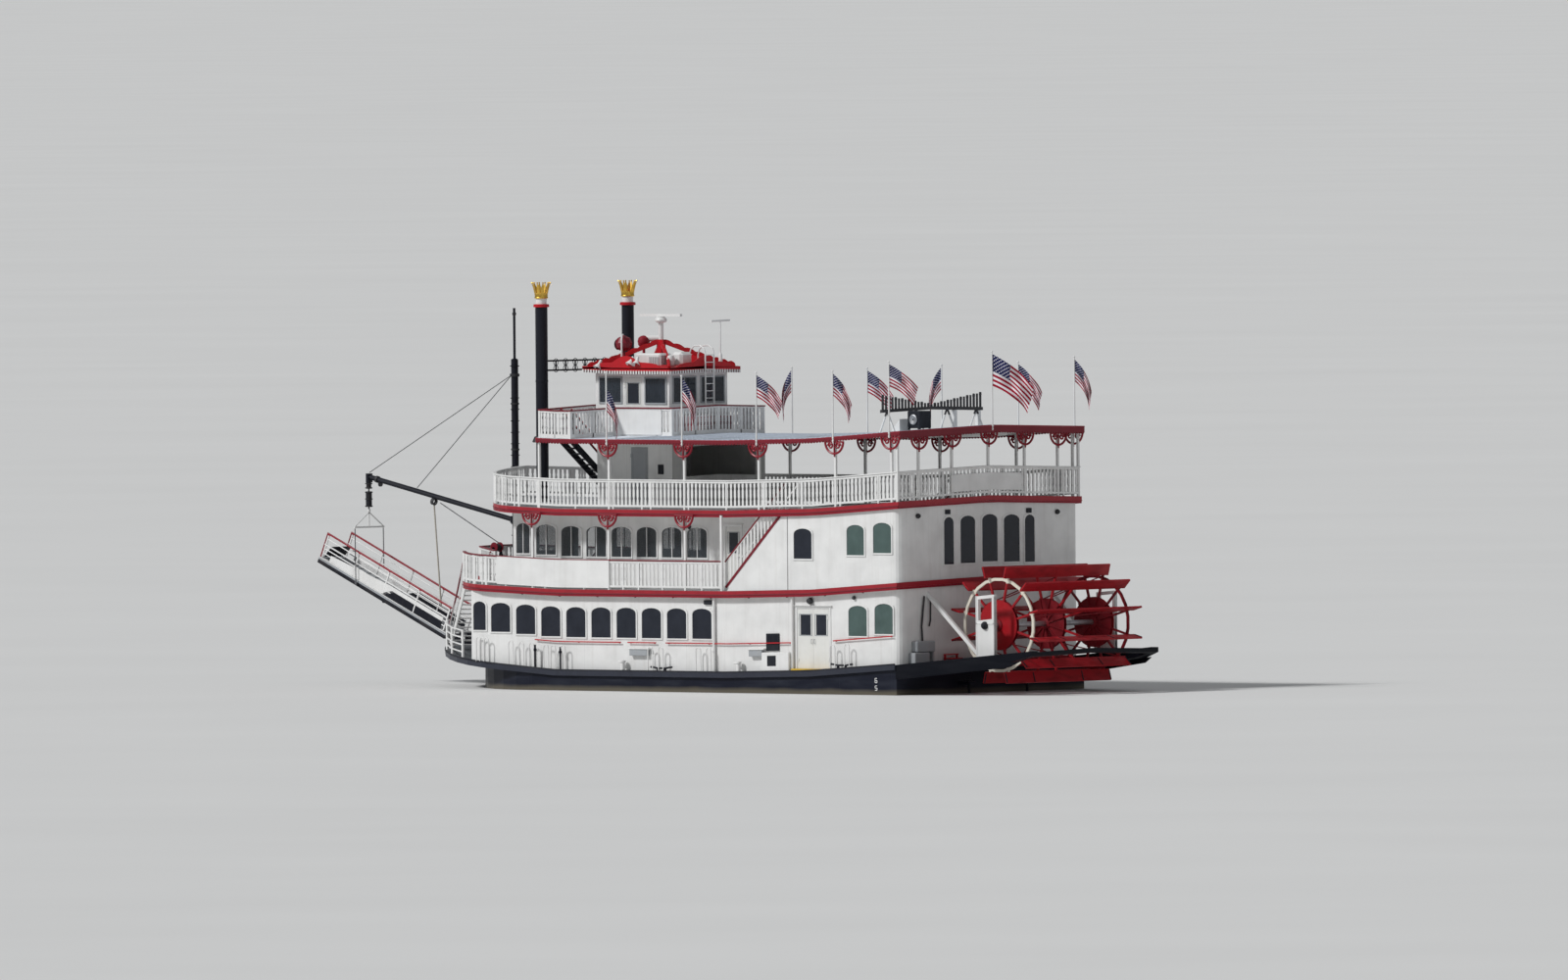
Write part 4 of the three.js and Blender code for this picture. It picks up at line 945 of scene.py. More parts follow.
@dataclass(frozen=True)
class Plan:
    """A deck's plan: half width, start, shoulder and nose of the bow curve, and the after end."""

    half: float
    start: float
    shoulder: float
    nose: float
    aft: float

    def bow(self, inset: float, first: float = 0.0, last: float = 1.0, steps: int = 12) -> list[Flat]:
        """Points on the port half of the bow curve.

        Args:
            inset: how far inside the deck's edge.
            first: the share of the curve where it starts.
            last: the share where it ends, 1 at the nose.
            steps: how many steps it has.

        Returns:
            Points in plan.
        """
        points = []
        for i in range(steps + 1):
            t = first + (last - first) * i / steps
            x = (1 - t) ** 2 * self.start + 2 * t * (1 - t) * self.shoulder + t * t * (self.nose + inset)
            points.append((x, -(self.half - inset) * (1 - t * t)))
        return points

    def edge(self, inset: float) -> list[Flat]:
        """The deck's edge, so far inside, from the port quarter round the bow to the starboard one."""
        port = [(self.aft - inset, inset - self.half), *self.bow(inset)]
        return port + [(x, -y) for x, y in reversed(port)][1:]


MAIN_PLAN = Plan(4.95, -8.6, -12.2, -15.3, 10.0)
SECOND_PLAN = Plan(4.85, -9.3, -11.5, -13.6, 10.05)
THIRD_PLAN = Plan(4.75, -7.8, -10.3, -11.9, 10.05)
ROOF_PLAN = Plan(4.75, -6.9, -7.2, -7.4, 10.15)


def up(x: float, y: float, z: float) -> Point:
    """A point on level decks, lifted."""
    return (x, y, z + rise(x, y, z))


def stepped(path: Sequence[Flat], z: float, longest: float = 0.9) -> list[Point]:
    """A path in plan as lifted points.

    Args:
        path: its corners in plan.
        z: its height on level decks.
        longest: the longest step between two points.

    Returns:
        The points.
    """
    points = [up(*path[0], z)]
    for (x0, y0), (x1, y1) in zip(path, path[1:]):
        count = max(1, math.ceil(math.hypot(x1 - x0, y1 - y0) / longest))
        for k in range(1, count + 1):
            points.append(up(x0 + (x1 - x0) * k / count, y0 + (y1 - y0) * k / count, z))
    return points


def spaced(path: Sequence[Flat], pitch: float) -> list[Point]:
    """Evenly spaced places along a path in plan.

    Args:
        path: its corners in plan.
        pitch: about how far apart they are.

    Returns:
        X, y and heading of each place.
    """
    spots = []
    for (x0, y0), (x1, y1) in zip(path, path[1:]):
        count = max(1, round(math.hypot(x1 - x0, y1 - y0) / pitch))
        heading = math.atan2(y1 - y0, x1 - x0)
        for k in range(count):
            share = (k + 0.5) / count
            spots.append((x0 + (x1 - x0) * share, y0 + (y1 - y0) * share, heading))
    return spots


def ribbon(path: Sequence[Point], wide: float, deep: float) -> Piece:
    """A strip along points, level across and extruded upwards.

    Args:
        path: the middle of its underside.
        wide: its width.
        deep: its height.

    Returns:
        The piece.
    """
    deselect()
    count = len(path) - 1
    bpy.ops.mesh.primitive_grid_add(x_subdivisions=count, y_subdivisions=1, size=2)
    piece = bpy.context.object
    spots = [Vector(point) for point in path]
    for vertex in piece.data.vertices:
        i = round((vertex.co.x + 1) / 2 * count)
        before, after = spots[max(i - 1, 0)], spots[min(i + 1, count)]
        side = UPWARD.cross(after - before).normalized()
        square = UPWARD.cross(after - spots[min(i, count - 1)]).normalized()
        reach = wide / 2 / max(0.5, side.dot(square))
        vertex.co = spots[i] + side * (reach if vertex.co.y > 0 else -reach)
    in_edit(piece, lambda: bpy.ops.mesh.extrude_region_move(
        TRANSFORM_OT_translate={"value": (0, 0, deep)}))
    return outward(piece)


@dataclass
class Balustrade:
    """Sawn balusters and a handrail along one path, between the CAD's own rails."""

    name: str
    path: Sequence[Flat]
    deck: float
    high: float
    cap: Finish = WHITE
    pitch: float = 0.184
    low: float = 0.156
    top: float = 0.934
    kick: bool = False
    waist: tuple[Flat, ...] = ((0.045, 0.0), (0.045, 0.2), (0.026, 0.28), (0.045, 0.38), (0.045, 0.66),
                               (0.026, 0.76), (0.045, 0.84), (0.045, 1.0))

    def baluster(self) -> Piece:
        """One baluster, sawn from a board, standing at the origin."""
        tall = self.high * (self.top - self.low)
        right = [(half, -0.011, tall * share) for half, share in self.waist]
        left = [(-x, y, z) for x, y, z in reversed(right)]
        return slab(right + left, (0, 0.022, 0))

    def build(self) -> None:
        """Builds the run."""
        z = self.deck + self.high * self.low
        places = [shifted(*up(x, y, z), turn) for x, y, turn in spaced(self.path, self.pitch)]
        placed(copies(self.baluster(), places), f"{self.name}_balusters", WHITE, smooth=0)
        stanchion = block((-0.035, -0.035, 0), (0.035, 0.035, self.high - 0.02), 0.008)
        places = [shifted(*up(x, y, self.deck), turn) for x, y, turn in spaced(self.path, 1.8)]
        placed(copies(stanchion, places), f"{self.name}_stanchions", WHITE, smooth=0)
        cap = ribbon(stepped(self.path, self.deck + self.high + 0.002), 0.13, 0.045)
        in_edit(cap, lambda: bpy.ops.mesh.bevel(offset=0.012, segments=1, affect="EDGES"))
        placed(cap, f"{self.name}_handrail", self.cap)
        if self.kick:
            board = ribbon(stepped(self.path, self.deck + 0.01), 0.07, 0.14)
            placed(board, f"{self.name}_kick_board", WHITE, smooth=0)


@dataclass
class Rails:
    """All of the balustrades, with the blank boards that hang on them."""

    tongue: tuple[Flat, ...] = ((-10.82, -2.69), (-12.676, -1.4), (-12.82, -1.28), (-12.82, 1.28),
                                (-12.676, 1.4), (-10.82, 2.69))
    gallery: tuple[Flat, ...] = ((-2.7, 0), (-2.7, -2.36), (-5.4, -2.36), (-5.4, -4.65), (-6.83, -4.65),
                                 (-7.2, -1.65), (-7.2, 1.65), (-6.83, 4.65), (-5.4, 4.65), (-5.4, 2.36),
                                 (-2.7, 2.36), (-2.7, 0))

    def build(self) -> None:
        """Builds them."""
        port = [(1.8, -4.77), *SECOND_PLAN.bow(0.08, 0, 0.47, 5)]
        for word, path in (("port", port), ("starboard", [(x, -y) for x, y in port]), ("bow", self.tongue)):
            Balustrade(f"deck_2_{word}", path, DECK_2, 1.0, DARK_RED).build()
        side = [(9.96, -4.67), *THIRD_PLAN.bow(0.08, 0, 1, 10)]
        loop = side + [(x, -y) for x, y in reversed(side)][1:] + [(9.96, 0), (9.96, -4.67)]
        Balustrade("deck_3", loop, DECK_3, 1.0).build()
        Balustrade("gallery", self.gallery, ROOF, 0.95, DARK_RED, 0.165, 0.16, 0.937, kick=True).build()
        self.board("side_banner", (-8.76, -4.825), (-3.46, -4.825), DECK_2 + 0.07, 0.94)
        self.board("stern_board", (10.02, -1.98), (10.02, 1.67), DECK_3 + 0.21, 0.58)
        self.board("gallery_screen", (-5.27, -2.41), (-3.15, -2.41), ROOF + 0.06, 0.86)

    def board(self, name: str, start: Flat, end: Flat, foot: float, high: float) -> None:
        """A plain white board hung on a rail, with a rolled hem along its top and bottom.

        Args:
            name: its name.
            start: where it starts, in plan.
            end: where it ends.
            foot: the height of its lower edge on level decks.
            high: its height.
        """
        step = 0.6
        parts = [ribbon(stepped((start, end), foot, step), 0.012, high)]
        parts += [rod(stepped((start, end), z, step), 0.014, 6) for z in (foot, foot + high)]
        placed(parts, name, WHITE)


# Windows and doors


@dataclass(frozen=True)
class Opening:
    """A window opening on level decks: middle, sill, width, height and the rise of its head."""

    middle: float
    sill: float
    width: float
    high: float = WINDOW_HIGH
    arch: float = ARCH_RISE

    def outline(self, grow: float) -> list[Flat]:
        """Its outline.

        Args:
            grow: how much larger it is made all round.

        Returns:
            Pairs along the wall and up.
        """
        half = self.width / 2 + grow
        points = [(self.middle - half, self.sill - grow), (self.middle + half, self.sill - grow)]
        if self.arch == 0:
            top = self.sill + self.high + grow
            return [*points, (self.middle + half, top), (self.middle - half, top)]
        for i in range(9):
            angle = math.pi * i / 8
            points.append((self.middle + half * math.cos(angle),
                           self.sill + self.high + grow - self.arch * (1 - math.sin(angle))))
        return points


@dataclass
class WindowRow:
    """Frames and panes in one wall: a side wall at y, or an end wall at x."""

    name: str
    openings: Sequence[Opening]
    glass: Finish
    wall: float
    is_end: bool = False
    outward: float = -1.0
    frame: Finish = WHITE
    bars: int = 0

    def spot(self, opening: Opening, flat: Flat, out: float) -> Point:
        """A point of an outline in space.

        Args:
            opening: the opening that it belongs to.
            flat: its place along the wall and up.
            out: how far in front of the wall it is.

        Returns:
            The point.
        """
        across, z = flat
        face = self.wall + self.outward * out
        if self.is_end:
            return (face, across, z + rise(self.wall, opening.middle, z))
        return (across, face, z + rise(opening.middle, self.wall, z))

    def ring(self, opening: Opening, out: float, grow: float) -> list[Point]:
        """An outline of the opening in space."""
        return [self.spot(opening, flat, out) for flat in opening.outline(grow)]

    def build(self) -> None:
        """Builds the row."""
        frames, panes = [], []
        push = (self.outward, 0, 0) if self.is_end else (0, self.outward, 0)
        for one in self.openings:
            frames.append(band(self.ring(one, 0.001, 0.045), self.ring(one, 0.001, -0.006),
                               [0.032 * value for value in push]))
            panes.append(slab(self.ring(one, 0.003, 0.004), [0.009 * value for value in push]))
            for k in range(self.bars):
                across = one.middle - one.width / 2 + one.width * (k + 1) / (self.bars + 1)
                low = self.spot(one, (across, one.sill), 0.012)
                high = self.spot(one, (across, one.sill + one.high - one.arch * 0.15), 0.012)
                frames.append(bar(low, high, 0.03, 0.03))
        placed(frames, f"{self.name}_frames", self.frame, smooth=0)
        placed(panes, f"{self.name}_glass", self.glass, smooth=0)


@dataclass
class Windows:
    """Every window of the ship."""

    def build(self) -> None:
        """Builds them wall by wall."""
        lower = [Opening(-9.74, SILL_1, 0.6)]
        lower += [Opening(-8.74 + WINDOW_PITCH * i, SILL_1, 0.92) for i in range(9)]
        aft_lower = [Opening(8.055, SILL_1 - 0.06, 0.87), Opening(9.27, SILL_1 - 0.06, 0.86)]
        upper = [Opening(-8.48, SILL_2, 0.64)]
        upper += [Opening(-7.39 + WINDOW_PITCH * i, SILL_2, 0.94) for i in range(7)]
        fore = [Opening(5.515, SILL_2 - 0.02, 0.85)]
        aft_upper = [Opening(7.975, SILL_2 - 0.02, 0.82), Opening(9.225, SILL_2 - 0.02, 0.85)]
        pilot = [Opening(-6.355, ROOF + 1.11, 1.01, 0.86, 0), Opening(-4.225, ROOF + 1.11, 0.95, 0.86, 0)]
        across = [Opening(y, ROOF + 1.11, 1.15, 0.86, 0) for y in (-0.725, 0.725)]
        stern = [Opening(y, DECK_2 + 0.5, wide, 1.65, 0.2)
                 for y, wide in ((-2.1, 0.52), (-1.12, 0.78), (0.015, 0.81), (1.145, 0.83), (2.08, 0.52))]
        rows = (("lower", lower, DARK_GLASS, CABIN_HALF, WHITE, 0),
                ("lower_aft", aft_lower, TEAL_GLASS, CABIN_HALF, WHITE, 0),
                ("saloon", upper, CLEAR_GLASS, SALOON_HALF, WHITE, 1),
                ("upper_fore", fore, DARK_GLASS, CABIN_HALF, WHITE, 0),
                ("upper_aft", aft_upper, TEAL_GLASS, CABIN_HALF, WHITE, 0),
                ("pilothouse", pilot, PILOT_GLASS, 1.5, GREY, 0))
        for side in Side:
            for name, openings, glass, wall, paint, bars in rows:
                WindowRow(f"{name}_{side.word}", openings, glass, wall * side.value, False,
                          float(side.value), paint, bars).build()
        front = [Opening(y, SILL_2, 0.94) for y in (-2.0, 2.0)]
        for name, openings, glass, wall, out, paint, bars in (
                ("saloon_front", front, CLEAR_GLASS, -8.97, -1.0, WHITE, 1),
                ("stern", stern, DARK_GLASS, AFT_FACE, 1.0, WHITE, 0),
                ("pilothouse_front", across, PILOT_GLASS, -7.07, -1.0, GREY, 1),
                ("pilothouse_aft", across, PILOT_GLASS, -3.6, 1.0, GREY, 1)):
            WindowRow(name, openings, glass, wall, True, out, paint, bars).build()


@dataclass(frozen=True)
class Leaf:
    """A door leaf's fittings: where it is, which way it faces, its pane and its handle."""

    body: str
    x0: float
    x1: float
    top: float
    face: float
    outward: float
    handle: float
    glazed: bool = True

    def build(self) -> None:
        """Builds the pane, if it has one, the bead round it and the handle on the outer face."""
        out, face = self.outward, self.face
        x0, x1 = self.x0 + 0.095, self.x1 - 0.095
        low, high = self.top - (0.9 if self.glazed else 1.75), self.top - 0.2

        def square(y: float, grow: float) -> list[Point]:
            """The pane's outline at y, grown all round."""
            left, right, foot, head = x0 - grow, x1 + grow, low - grow, high + grow
            return [(left, y, foot), (right, y, foot), (right, y, head), (left, y, head)]

        if self.glazed:
            pane = slab(square(face - out * 0.03, 0), (0, out * 0.015, 0))
            placed(pane, f"{self.body}_pane", DARK_GLASS, self.body, smooth=0)
        bead = band(square(face, 0.03), square(face, 0.002), (0, out * 0.008, 0))
        placed(bead, f"{self.body}_bead", GREY, self.body, smooth=0)
        grip_top = self.top - 1.05
        grip = rod([(self.handle, face + out * y, grip_top + z)
                    for y, z in ((0, 0), (0.05, 0), (0.05, -0.14), (0, -0.14))], 0.011, 8)
        placed(grip, f"{self.body}_handle", STEEL, self.body)


@dataclass
class Doors:
    """The fittings of every hinged door, the trim round the openings and the sills under the leaves."""

    sill_ends: Flat = (5.12, 6.74)
    sill_inner: float = 4.66
    sill_deep: float = 0.24
    sill_top: float = 1.822

    def build(self) -> None:
        """Builds them."""
        for side in Side:
            out, word = float(side.value), side.word
            wall, saloon = CABIN_HALF * out, SALOON_HALF * out
            Leaf(f"cabin_door_fore_{word}", 5.23, 5.968, 3.89, wall, out, 5.9).build()
            Leaf(f"cabin_door_aft_{word}", 5.962, 6.70, 3.89, wall, out, 6.03).build()
            Leaf(f"saloon_door_{word}", 1.08, 1.76, DECK_2 + 2.2, 3.735 * out, out, 1.69).build()
            self.trim(f"cabin_door_trim_{word}", (5.2, 6.73), (1.80, 3.93), wall, out, 0.075)
            self.trim(f"saloon_door_trim_{word}", (1.06, 1.78), (4.64, 6.70), saloon, out, 0.05)
            inner = out * self.sill_inner
            sill = [up(x, inner, MAIN_DECK + 0.004) for x in self.sill_ends]
            sill += [(x, inner, self.sill_top) for x in reversed(self.sill_ends)]
            placed(slab(sill, (0, out * self.sill_deep, 0)), f"gangway_sill_{word}", YELLOW, smooth=0)
        Leaf("deckhouse_door", -4.6, -3.8, DECK_3 + 2.11, -2.4, -1.0, -3.9, False).build()
        panel = block((-3.32, -2.43, 8.44), (-3.06, -2.402, 8.78), 0.008)
        placed(panel, "deckhouse_panel", GASKET, smooth=0)
        Leaf("pilothouse_door", -5.7, -4.9, ROOF + 2.08, -1.5, -1.0, -5.0).build()

    def trim(self, name: str, wide: Flat, high: Flat, wall: float, out: float, proud: float) -> None:
        """A raised casing round three sides of a door opening, with a drip strip over it.

        Args:
            name: its name.
            wide: where the opening starts and ends along X.
            high: its foot and its head.
            wall: the wall's y.
            out: the side that the wall faces, -1 or 1.
            proud: how far the drip strip stands out.
        """
        x0, x1 = wide
        z0, z1 = high
        face, drip = wall + out * 0.012, wall + out * proud / 2
        parts = [bar((x, face, z0), (x, face, z1), 0.06, 0.022) for x in (x0 - 0.03, x1 + 0.03)]
        parts += [bar((x0 - 0.08, face, z1 + 0.03), (x1 + 0.08, face, z1 + 0.03), 0.022, 0.06),
                  bar((x0 - 0.12, drip, z1 + 0.075), (x1 + 0.12, drip, z1 + 0.075), proud, 0.02)]
        placed(parts, name, WHITE, smooth=0)


# Trim of the decks and the roof


@dataclass
class Trim:
    """Mouldings, the roof's fascia with its teeth, the scroll brackets and the lamps under deck 2."""

    bracket_posts: tuple[float, ...] = (-7.1, -3.5, 0.1)
    roof_posts: tuple[float, ...] = (-3.55, 0.0, 3.5, 7.08, 9.7)
    stern_posts: tuple[float, ...] = (-3.6, -1.88, 0.0, 1.88, 3.6)

    def moulding(self, name: str, plan: Plan, z: float, finish: Finish, radius: float = 0.03) -> None:
        """A half-round moulding on a deck's edge, from the after end round the bow.

        Args:
            name: its name.
            plan: the deck's plan.
            z: its height on level decks.
            finish: its paint.
            radius: its radius.
        """
        path = plan.edge(0.0 if plan is not MAIN_PLAN else radius)
        placed(rod(stepped(path, z), radius, 8), name, finish)

    def scroll(self) -> Piece:
        """One bracket of bent iron: a half-round hoop with a spiral on each side, and a pendant."""
        turns = [math.pi * k / 16 for k in range(-8, 9)]
        parts = [rod([(0.42 * math.sin(a), 0, -0.42 * math.cos(a)) for a in turns], 0.040, 6),
                 rod([(-0.44, 0, -0.012), (0.44, 0, -0.012)], 0.034, 6),
                 rod([(0, 0, 0), (0, 0, -0.42)], 0.03, 6)]
        for side in (-1, 1):
            curl = []
            for k in range(19):
                angle, reach = math.pi * 2.6 * k / 18, 0.12 - 0.0048 * k
                curl.append((side * (0.175 + reach * math.cos(angle)), 0, -0.15 + reach * math.sin(angle)))
            parts.append(rod(curl, 0.032, 6))
        parts.append(spun([(0, -0.54), (0.03, -0.50), (0.02, -0.47), (0.045, -0.44), (0, -0.41)],
                          (0, 0, 0), steps=8))
        return joined(parts)

    def brackets(self) -> None:
        """Puts the scroll brackets on the posts under deck 3 and under the roof."""
        places = []
        for side in (-1, 1):
            places += [shifted(x, side * 4.835, DECK_3 - DECK_EDGE + rise(x, 4.77, DECK_3) - 0.005)
                       for x in self.bracket_posts]
            places += [shifted(x, side * 4.735, ROOF - 0.17 + rise(x, 4.67, ROOF))
                       for x in self.roof_posts]
        places += [shifted(10.02, y, ROOF - 0.23 + rise(9.96, y, ROOF), math.pi / 2)
                   for y in self.stern_posts]
        placed(copies(self.scroll(), places), "scroll_brackets", CRIMSON)

    def fascia(self) -> None:
        """The board round the roof's edge, its moulding and its row of teeth, deeper at the stern."""
        path = ROOF_PLAN.edge(-0.018)
        boards, teeth = [], []
        tooth = slab([(-0.055, -0.012, 0.02), (-0.055, -0.012, -0.02), (-0.03, -0.012, -0.05),
                      (0.03, -0.012, -0.05), (0.055, -0.012, -0.02), (0.055, -0.012, 0.02)], (0, 0.024, 0))
        for run, deep in ((path, 0.10), ([path[-1], path[0]], 0.205)):
            foot = ROOF - 0.015 - deep
            boards.append(ribbon(stepped(run, foot), 0.034, deep))
            places = [shifted(*up(x, y, foot), turn) for x, y, turn in spaced(run, 0.135)]
            teeth += copies(tooth, places, keep=True)
        bpy.data.objects.remove(tooth)
        placed(boards, "roof_fascia", DARK_RED, replaces=("roof_edge",), smooth=0)
        lip = rod(stepped([*path, path[0]], ROOF - 0.02), 0.024, 8)
        placed(lip, "roof_fascia_moulding", CRIMSON)
        placed(teeth, "roof_fascia_teeth", DARK_RED, smooth=0)

    def lamps(self) -> None:
        """Small fittings under the edge of deck 2, one in every bay, on both sides."""
        spots = [(-7.63 + 1.78 * k, side * 4.76) for k in range(10) for side in (-1, 1)]
        one = spun([(0, 0), (0.05, 0), (0.05, -0.05), (0.035, -0.09), (0, -0.10)], (0, 0, 0), steps=10)
        places = [shifted(*up(x, y, DECK_2 - DECK_EDGE)) for x, y in spots]
        placed(copies(one, places), "deck_2_lamps", IRON)

    def build(self) -> None:
        """Builds all of it."""
        self.moulding("main_deck_guard", MAIN_PLAN, MAIN_DECK + 0.01, BLACK, 0.045)
        self.moulding("deck_2_moulding", SECOND_PLAN, DECK_2 - 0.14, DARK_RED, 0.022)
        self.moulding("deck_3_moulding", THIRD_PLAN, DECK_3 - 0.14, DARK_RED, 0.022)
        for name, plan, deck in (("deck_2", SECOND_PLAN, DECK_2), ("deck_3", THIRD_PLAN, DECK_3)):
            path = plan.edge(0.03)
            strip = ribbon(stepped([*path, path[0]], deck - DECK_EDGE - 0.07), 0.05, 0.07)
            placed(strip, f"{name}_valance", CRIMSON, smooth=0)
        self.brackets()
        self.fascia()
        self.lamps()


@dataclass(frozen=True)
class Staff:
    """A flag staff: where it stands, how far it rises over the roof, its size and its flag's droop."""

    name: str
    x: float
    y: float
    high: float
    droop: float
    heading: float
    size: float = 1.0
    phase: float = 0.0
    lowered: float = 0.0

    def foot(self) -> float:
        """The height of the roof's edge here."""
        return ROOF + rise(self.x, self.y, ROOF)

    def pole(self) -> Piece:
        """The pole, with a ball at its head, clamped to the fascia."""
        foot, top = self.foot() - 0.2, self.foot() + self.high
        pole = spun([(0, foot), (0.03, foot), (0.024, top), (0.036, top + 0.01), (0.04, top + 0.035),
                     (0.024, top + 0.06), (0, top + 0.065)], (self.x, self.y, 0), steps=8)
        clamps = [block((self.x - 0.035, self.y - 0.035, z), (self.x + 0.035, self.y + 0.035, z + 0.05), 0.01)
                  for z in (foot + 0.03, foot + 0.14)]
        return joined([pole, *clamps])

    def cloth(self, depth: float) -> Piece:
        """The flag, hanging from the hoist with folds of a given depth.

        Args:
            depth: the depth of its folds.

        Returns:
            The cloth.
        """
        deselect()
        bpy.ops.mesh.primitive_grid_add(x_subdivisions=20, y_subdivisions=14, size=1, calc_uvs=True)
        flag = bpy.context.object
        fly, hoist = 1.52 * self.size, 0.91 * self.size
        top = self.foot() + self.high - 0.06 - self.lowered
        ahead = Vector((math.cos(self.heading), math.sin(self.heading), 0))
        aside = Vector((-ahead.y, ahead.x, 0))
        for vertex in flag.data.vertices:
            u, v = vertex.co.x + 0.5, vertex.co.y + 0.5
            sag = self.droop * (0.75 + 0.35 * u)
            reach = fly * u * math.cos(sag) * (1 - 0.16 * u * (1 - v))
            drop = (1 - v) * hoist * (1 - 0.18 * u) + fly * u * math.sin(sag)
            wave = math.sin(2 * math.pi * (1.35 * v + 1.05 * u) + self.phase)
            wave += 0.35 * math.sin(2 * math.pi * (0.7 * v - 1.9 * u) + 2 * self.phase)
            fold = depth * min(1.0, 2.2 * u) * wave
            vertex.co = (Vector((self.x, self.y, top)) + ahead * (0.02 + reach) + aside * fold
                         - Vector((0, 0, drop)))
        return flag

    def build(self) -> None:
        """Builds the pole and its flag, with folds deep enough to take up all of the cloth."""
        placed(self.pole(), f"flag_staff_{self.name}", WHITE)
        fly, hoist = 1.52 * self.size, 0.91 * self.size
        shallow, deep = 0.0, 0.4
        for _ in range(9):
            depth = (shallow + deep) / 2
            flag = self.cloth(depth)
            area = sum(face.area for face in flag.data.polygons)
            shallow, deep = (depth, deep) if area < fly * hoist else (shallow, depth)
            bpy.data.objects.remove(flag)
        flag = placed(self.cloth(shallow), f"flag_{self.name}", FLAG, smooth=3.1)


@dataclass
class Flags:
    """Ten flags along the roof's sides and a larger one at the stern."""

    def build(self) -> None:
        """Raises them."""
        rows = ((Side.PORT, ((-3.55, 2.3, 1.16, 0.55, 0.5), (0.0, 2.2, 1.08, 0.6, 0.0),
                             (3.5, 2.3, 0.72, 0.6, 0.0), (7.08, 2.24, 0.95, 0.6, 0.0),
                             (9.7, 2.4, 0.62, 0.65, 0.0))),
                (Side.STARBOARD, ((-3.55, 2.3, 1.2, 3.75, 0.0), (0.0, 2.3, 0.70, 0.6, 0.0),
                                  (3.5, 2.39, 1.12, 3.8, 0.0), (7.08, 2.39, 0.80, 0.6, 0.0),
                                  (9.7, 2.4, 1.0, 0.75, 0.0))))
        for side, staffs in rows:
            for i, (x, high, droop, heading, lowered) in enumerate(staffs):
                Staff(f"{side.word}_{i + 1}", x, side.value * 4.795, high, droop, heading, 0.84,
                      phase=1.7 * i + side.value, lowered=lowered).build()
        Staff("stern", 10.18, 0.0, 2.5, 0.62, 0.62, 1.21, 2.4).build()


# Stacks and the pilothouse


@dataclass
class Stacks:
    """Two black stacks with a red flange, a white ring and a gilt crown, and the rings between them."""

    x: float = -8.95
    y: float = 2.23
    radius: float = 0.215
    top: float = 14.24
    prong: float = 0.43

    def profiles(self) -> dict[str, tuple[Finish, str | None, list[Flat]]]:
        """The turned parts of one stack by name: finish, slot and profile."""
        r = self.radius
        lifted = rise(self.x, self.y, DECK_3)
        foot, skirt = DECK_3 + lifted + 0.002, ROOF + lifted - 0.36
        return {
            "tube": (BLACK, "black", [(0, foot), (r + 0.06, foot), (r + 0.06, foot + 0.06), (r, foot + 0.07),
                                      (r, 11.6), (r + 0.008, 11.61), (r + 0.008, 11.69), (r, 11.7),
                                      (r, self.top), (0, self.top)]),
            "collar": (IRON, None, [(r + 0.003, skirt), (r + 0.12, skirt), (r + 0.14, skirt + 0.03),
                                    (r + 0.06, skirt + 0.2), (r + 0.003, skirt + 0.22)]),
            "flange": (RED, "trim_red", [(r - 0.05, 14.23), (r + 0.055, 14.23), (r + 0.065, 14.26),
                                         (r + 0.055, 14.33), (r - 0.05, 14.34)]),
            "ring": (WHITE, None, [(0.12, 14.335), (0.19, 14.335), (0.19, 14.54), (0.12, 14.54)]),
        }

    def build(self) -> None:
        """Builds both, and the rings on the braces between them."""
        for side in Side:
            y = self.y * side.value
            for part, (finish, slot, profile) in self.profiles().items():
                stands_for = (f"stack_{side.word}",) if part == "tube" else ()
                placed(spun(profile, (self.x, y, 0), steps=32), f"stack_{part}_{side.word}", finish,
                       replaces=stands_for)
            placed(self.crown(y), f"stack_crown_{side.word}", GOLD)
        turns = [math.pi * k / 6 for k in range(12)]
        rings = [rod([(self.x, 0.5 * k + 0.12 * math.cos(a), z + 0.12 * math.sin(a)) for a in turns],
                     0.012, 6, closed=True)
                 for k in range(-3, 4) for z in (WATERLINE + 11.12, WATERLINE + 11.35)]
        placed(rings, "stack_brace_rings", BLACK)

    def crown(self, y: float) -> Piece:
        """The crown of the stack at y: a rim with ten flaring points, each with a ball.

        Args:
            y: the stack's distance from the centreline, less than 0 to port.

        Returns:
            The piece.
        """
        rim = spun([(0.19, 14.53), (0.225, 14.53), (0.24, 14.56), (0.225, 14.60), (0.235, 14.74),
                    (0.2, 14.74)], (self.x, y, 0), steps=32)
        edge = ((-0.03, 0), (-0.055, 0.14), (-0.05, 0.28), (-0.012, self.prong))
        point = slab([*((0, low, high) for low, high in edge),
                      *((0, -low, high) for low, high in reversed(edge))], (0.016, 0, 0))
        for vertex in point.data.vertices:
            share = vertex.co.z / self.prong
            vertex.co.x += 0.205 + 0.03 * share + 0.085 * share * share
            vertex.co.z += 14.64
        ball = spun([(0, -0.03), (0.02, -0.022), (0.03, 0), (0.02, 0.022), (0, 0.03)], (0.325, 0, 15.075),
                    steps=8)
        turns = [shifted(self.x, y, 0, math.pi * k / 5) for k in range(10)]
        return joined([rim, *copies(joined([point, ball]), turns)])


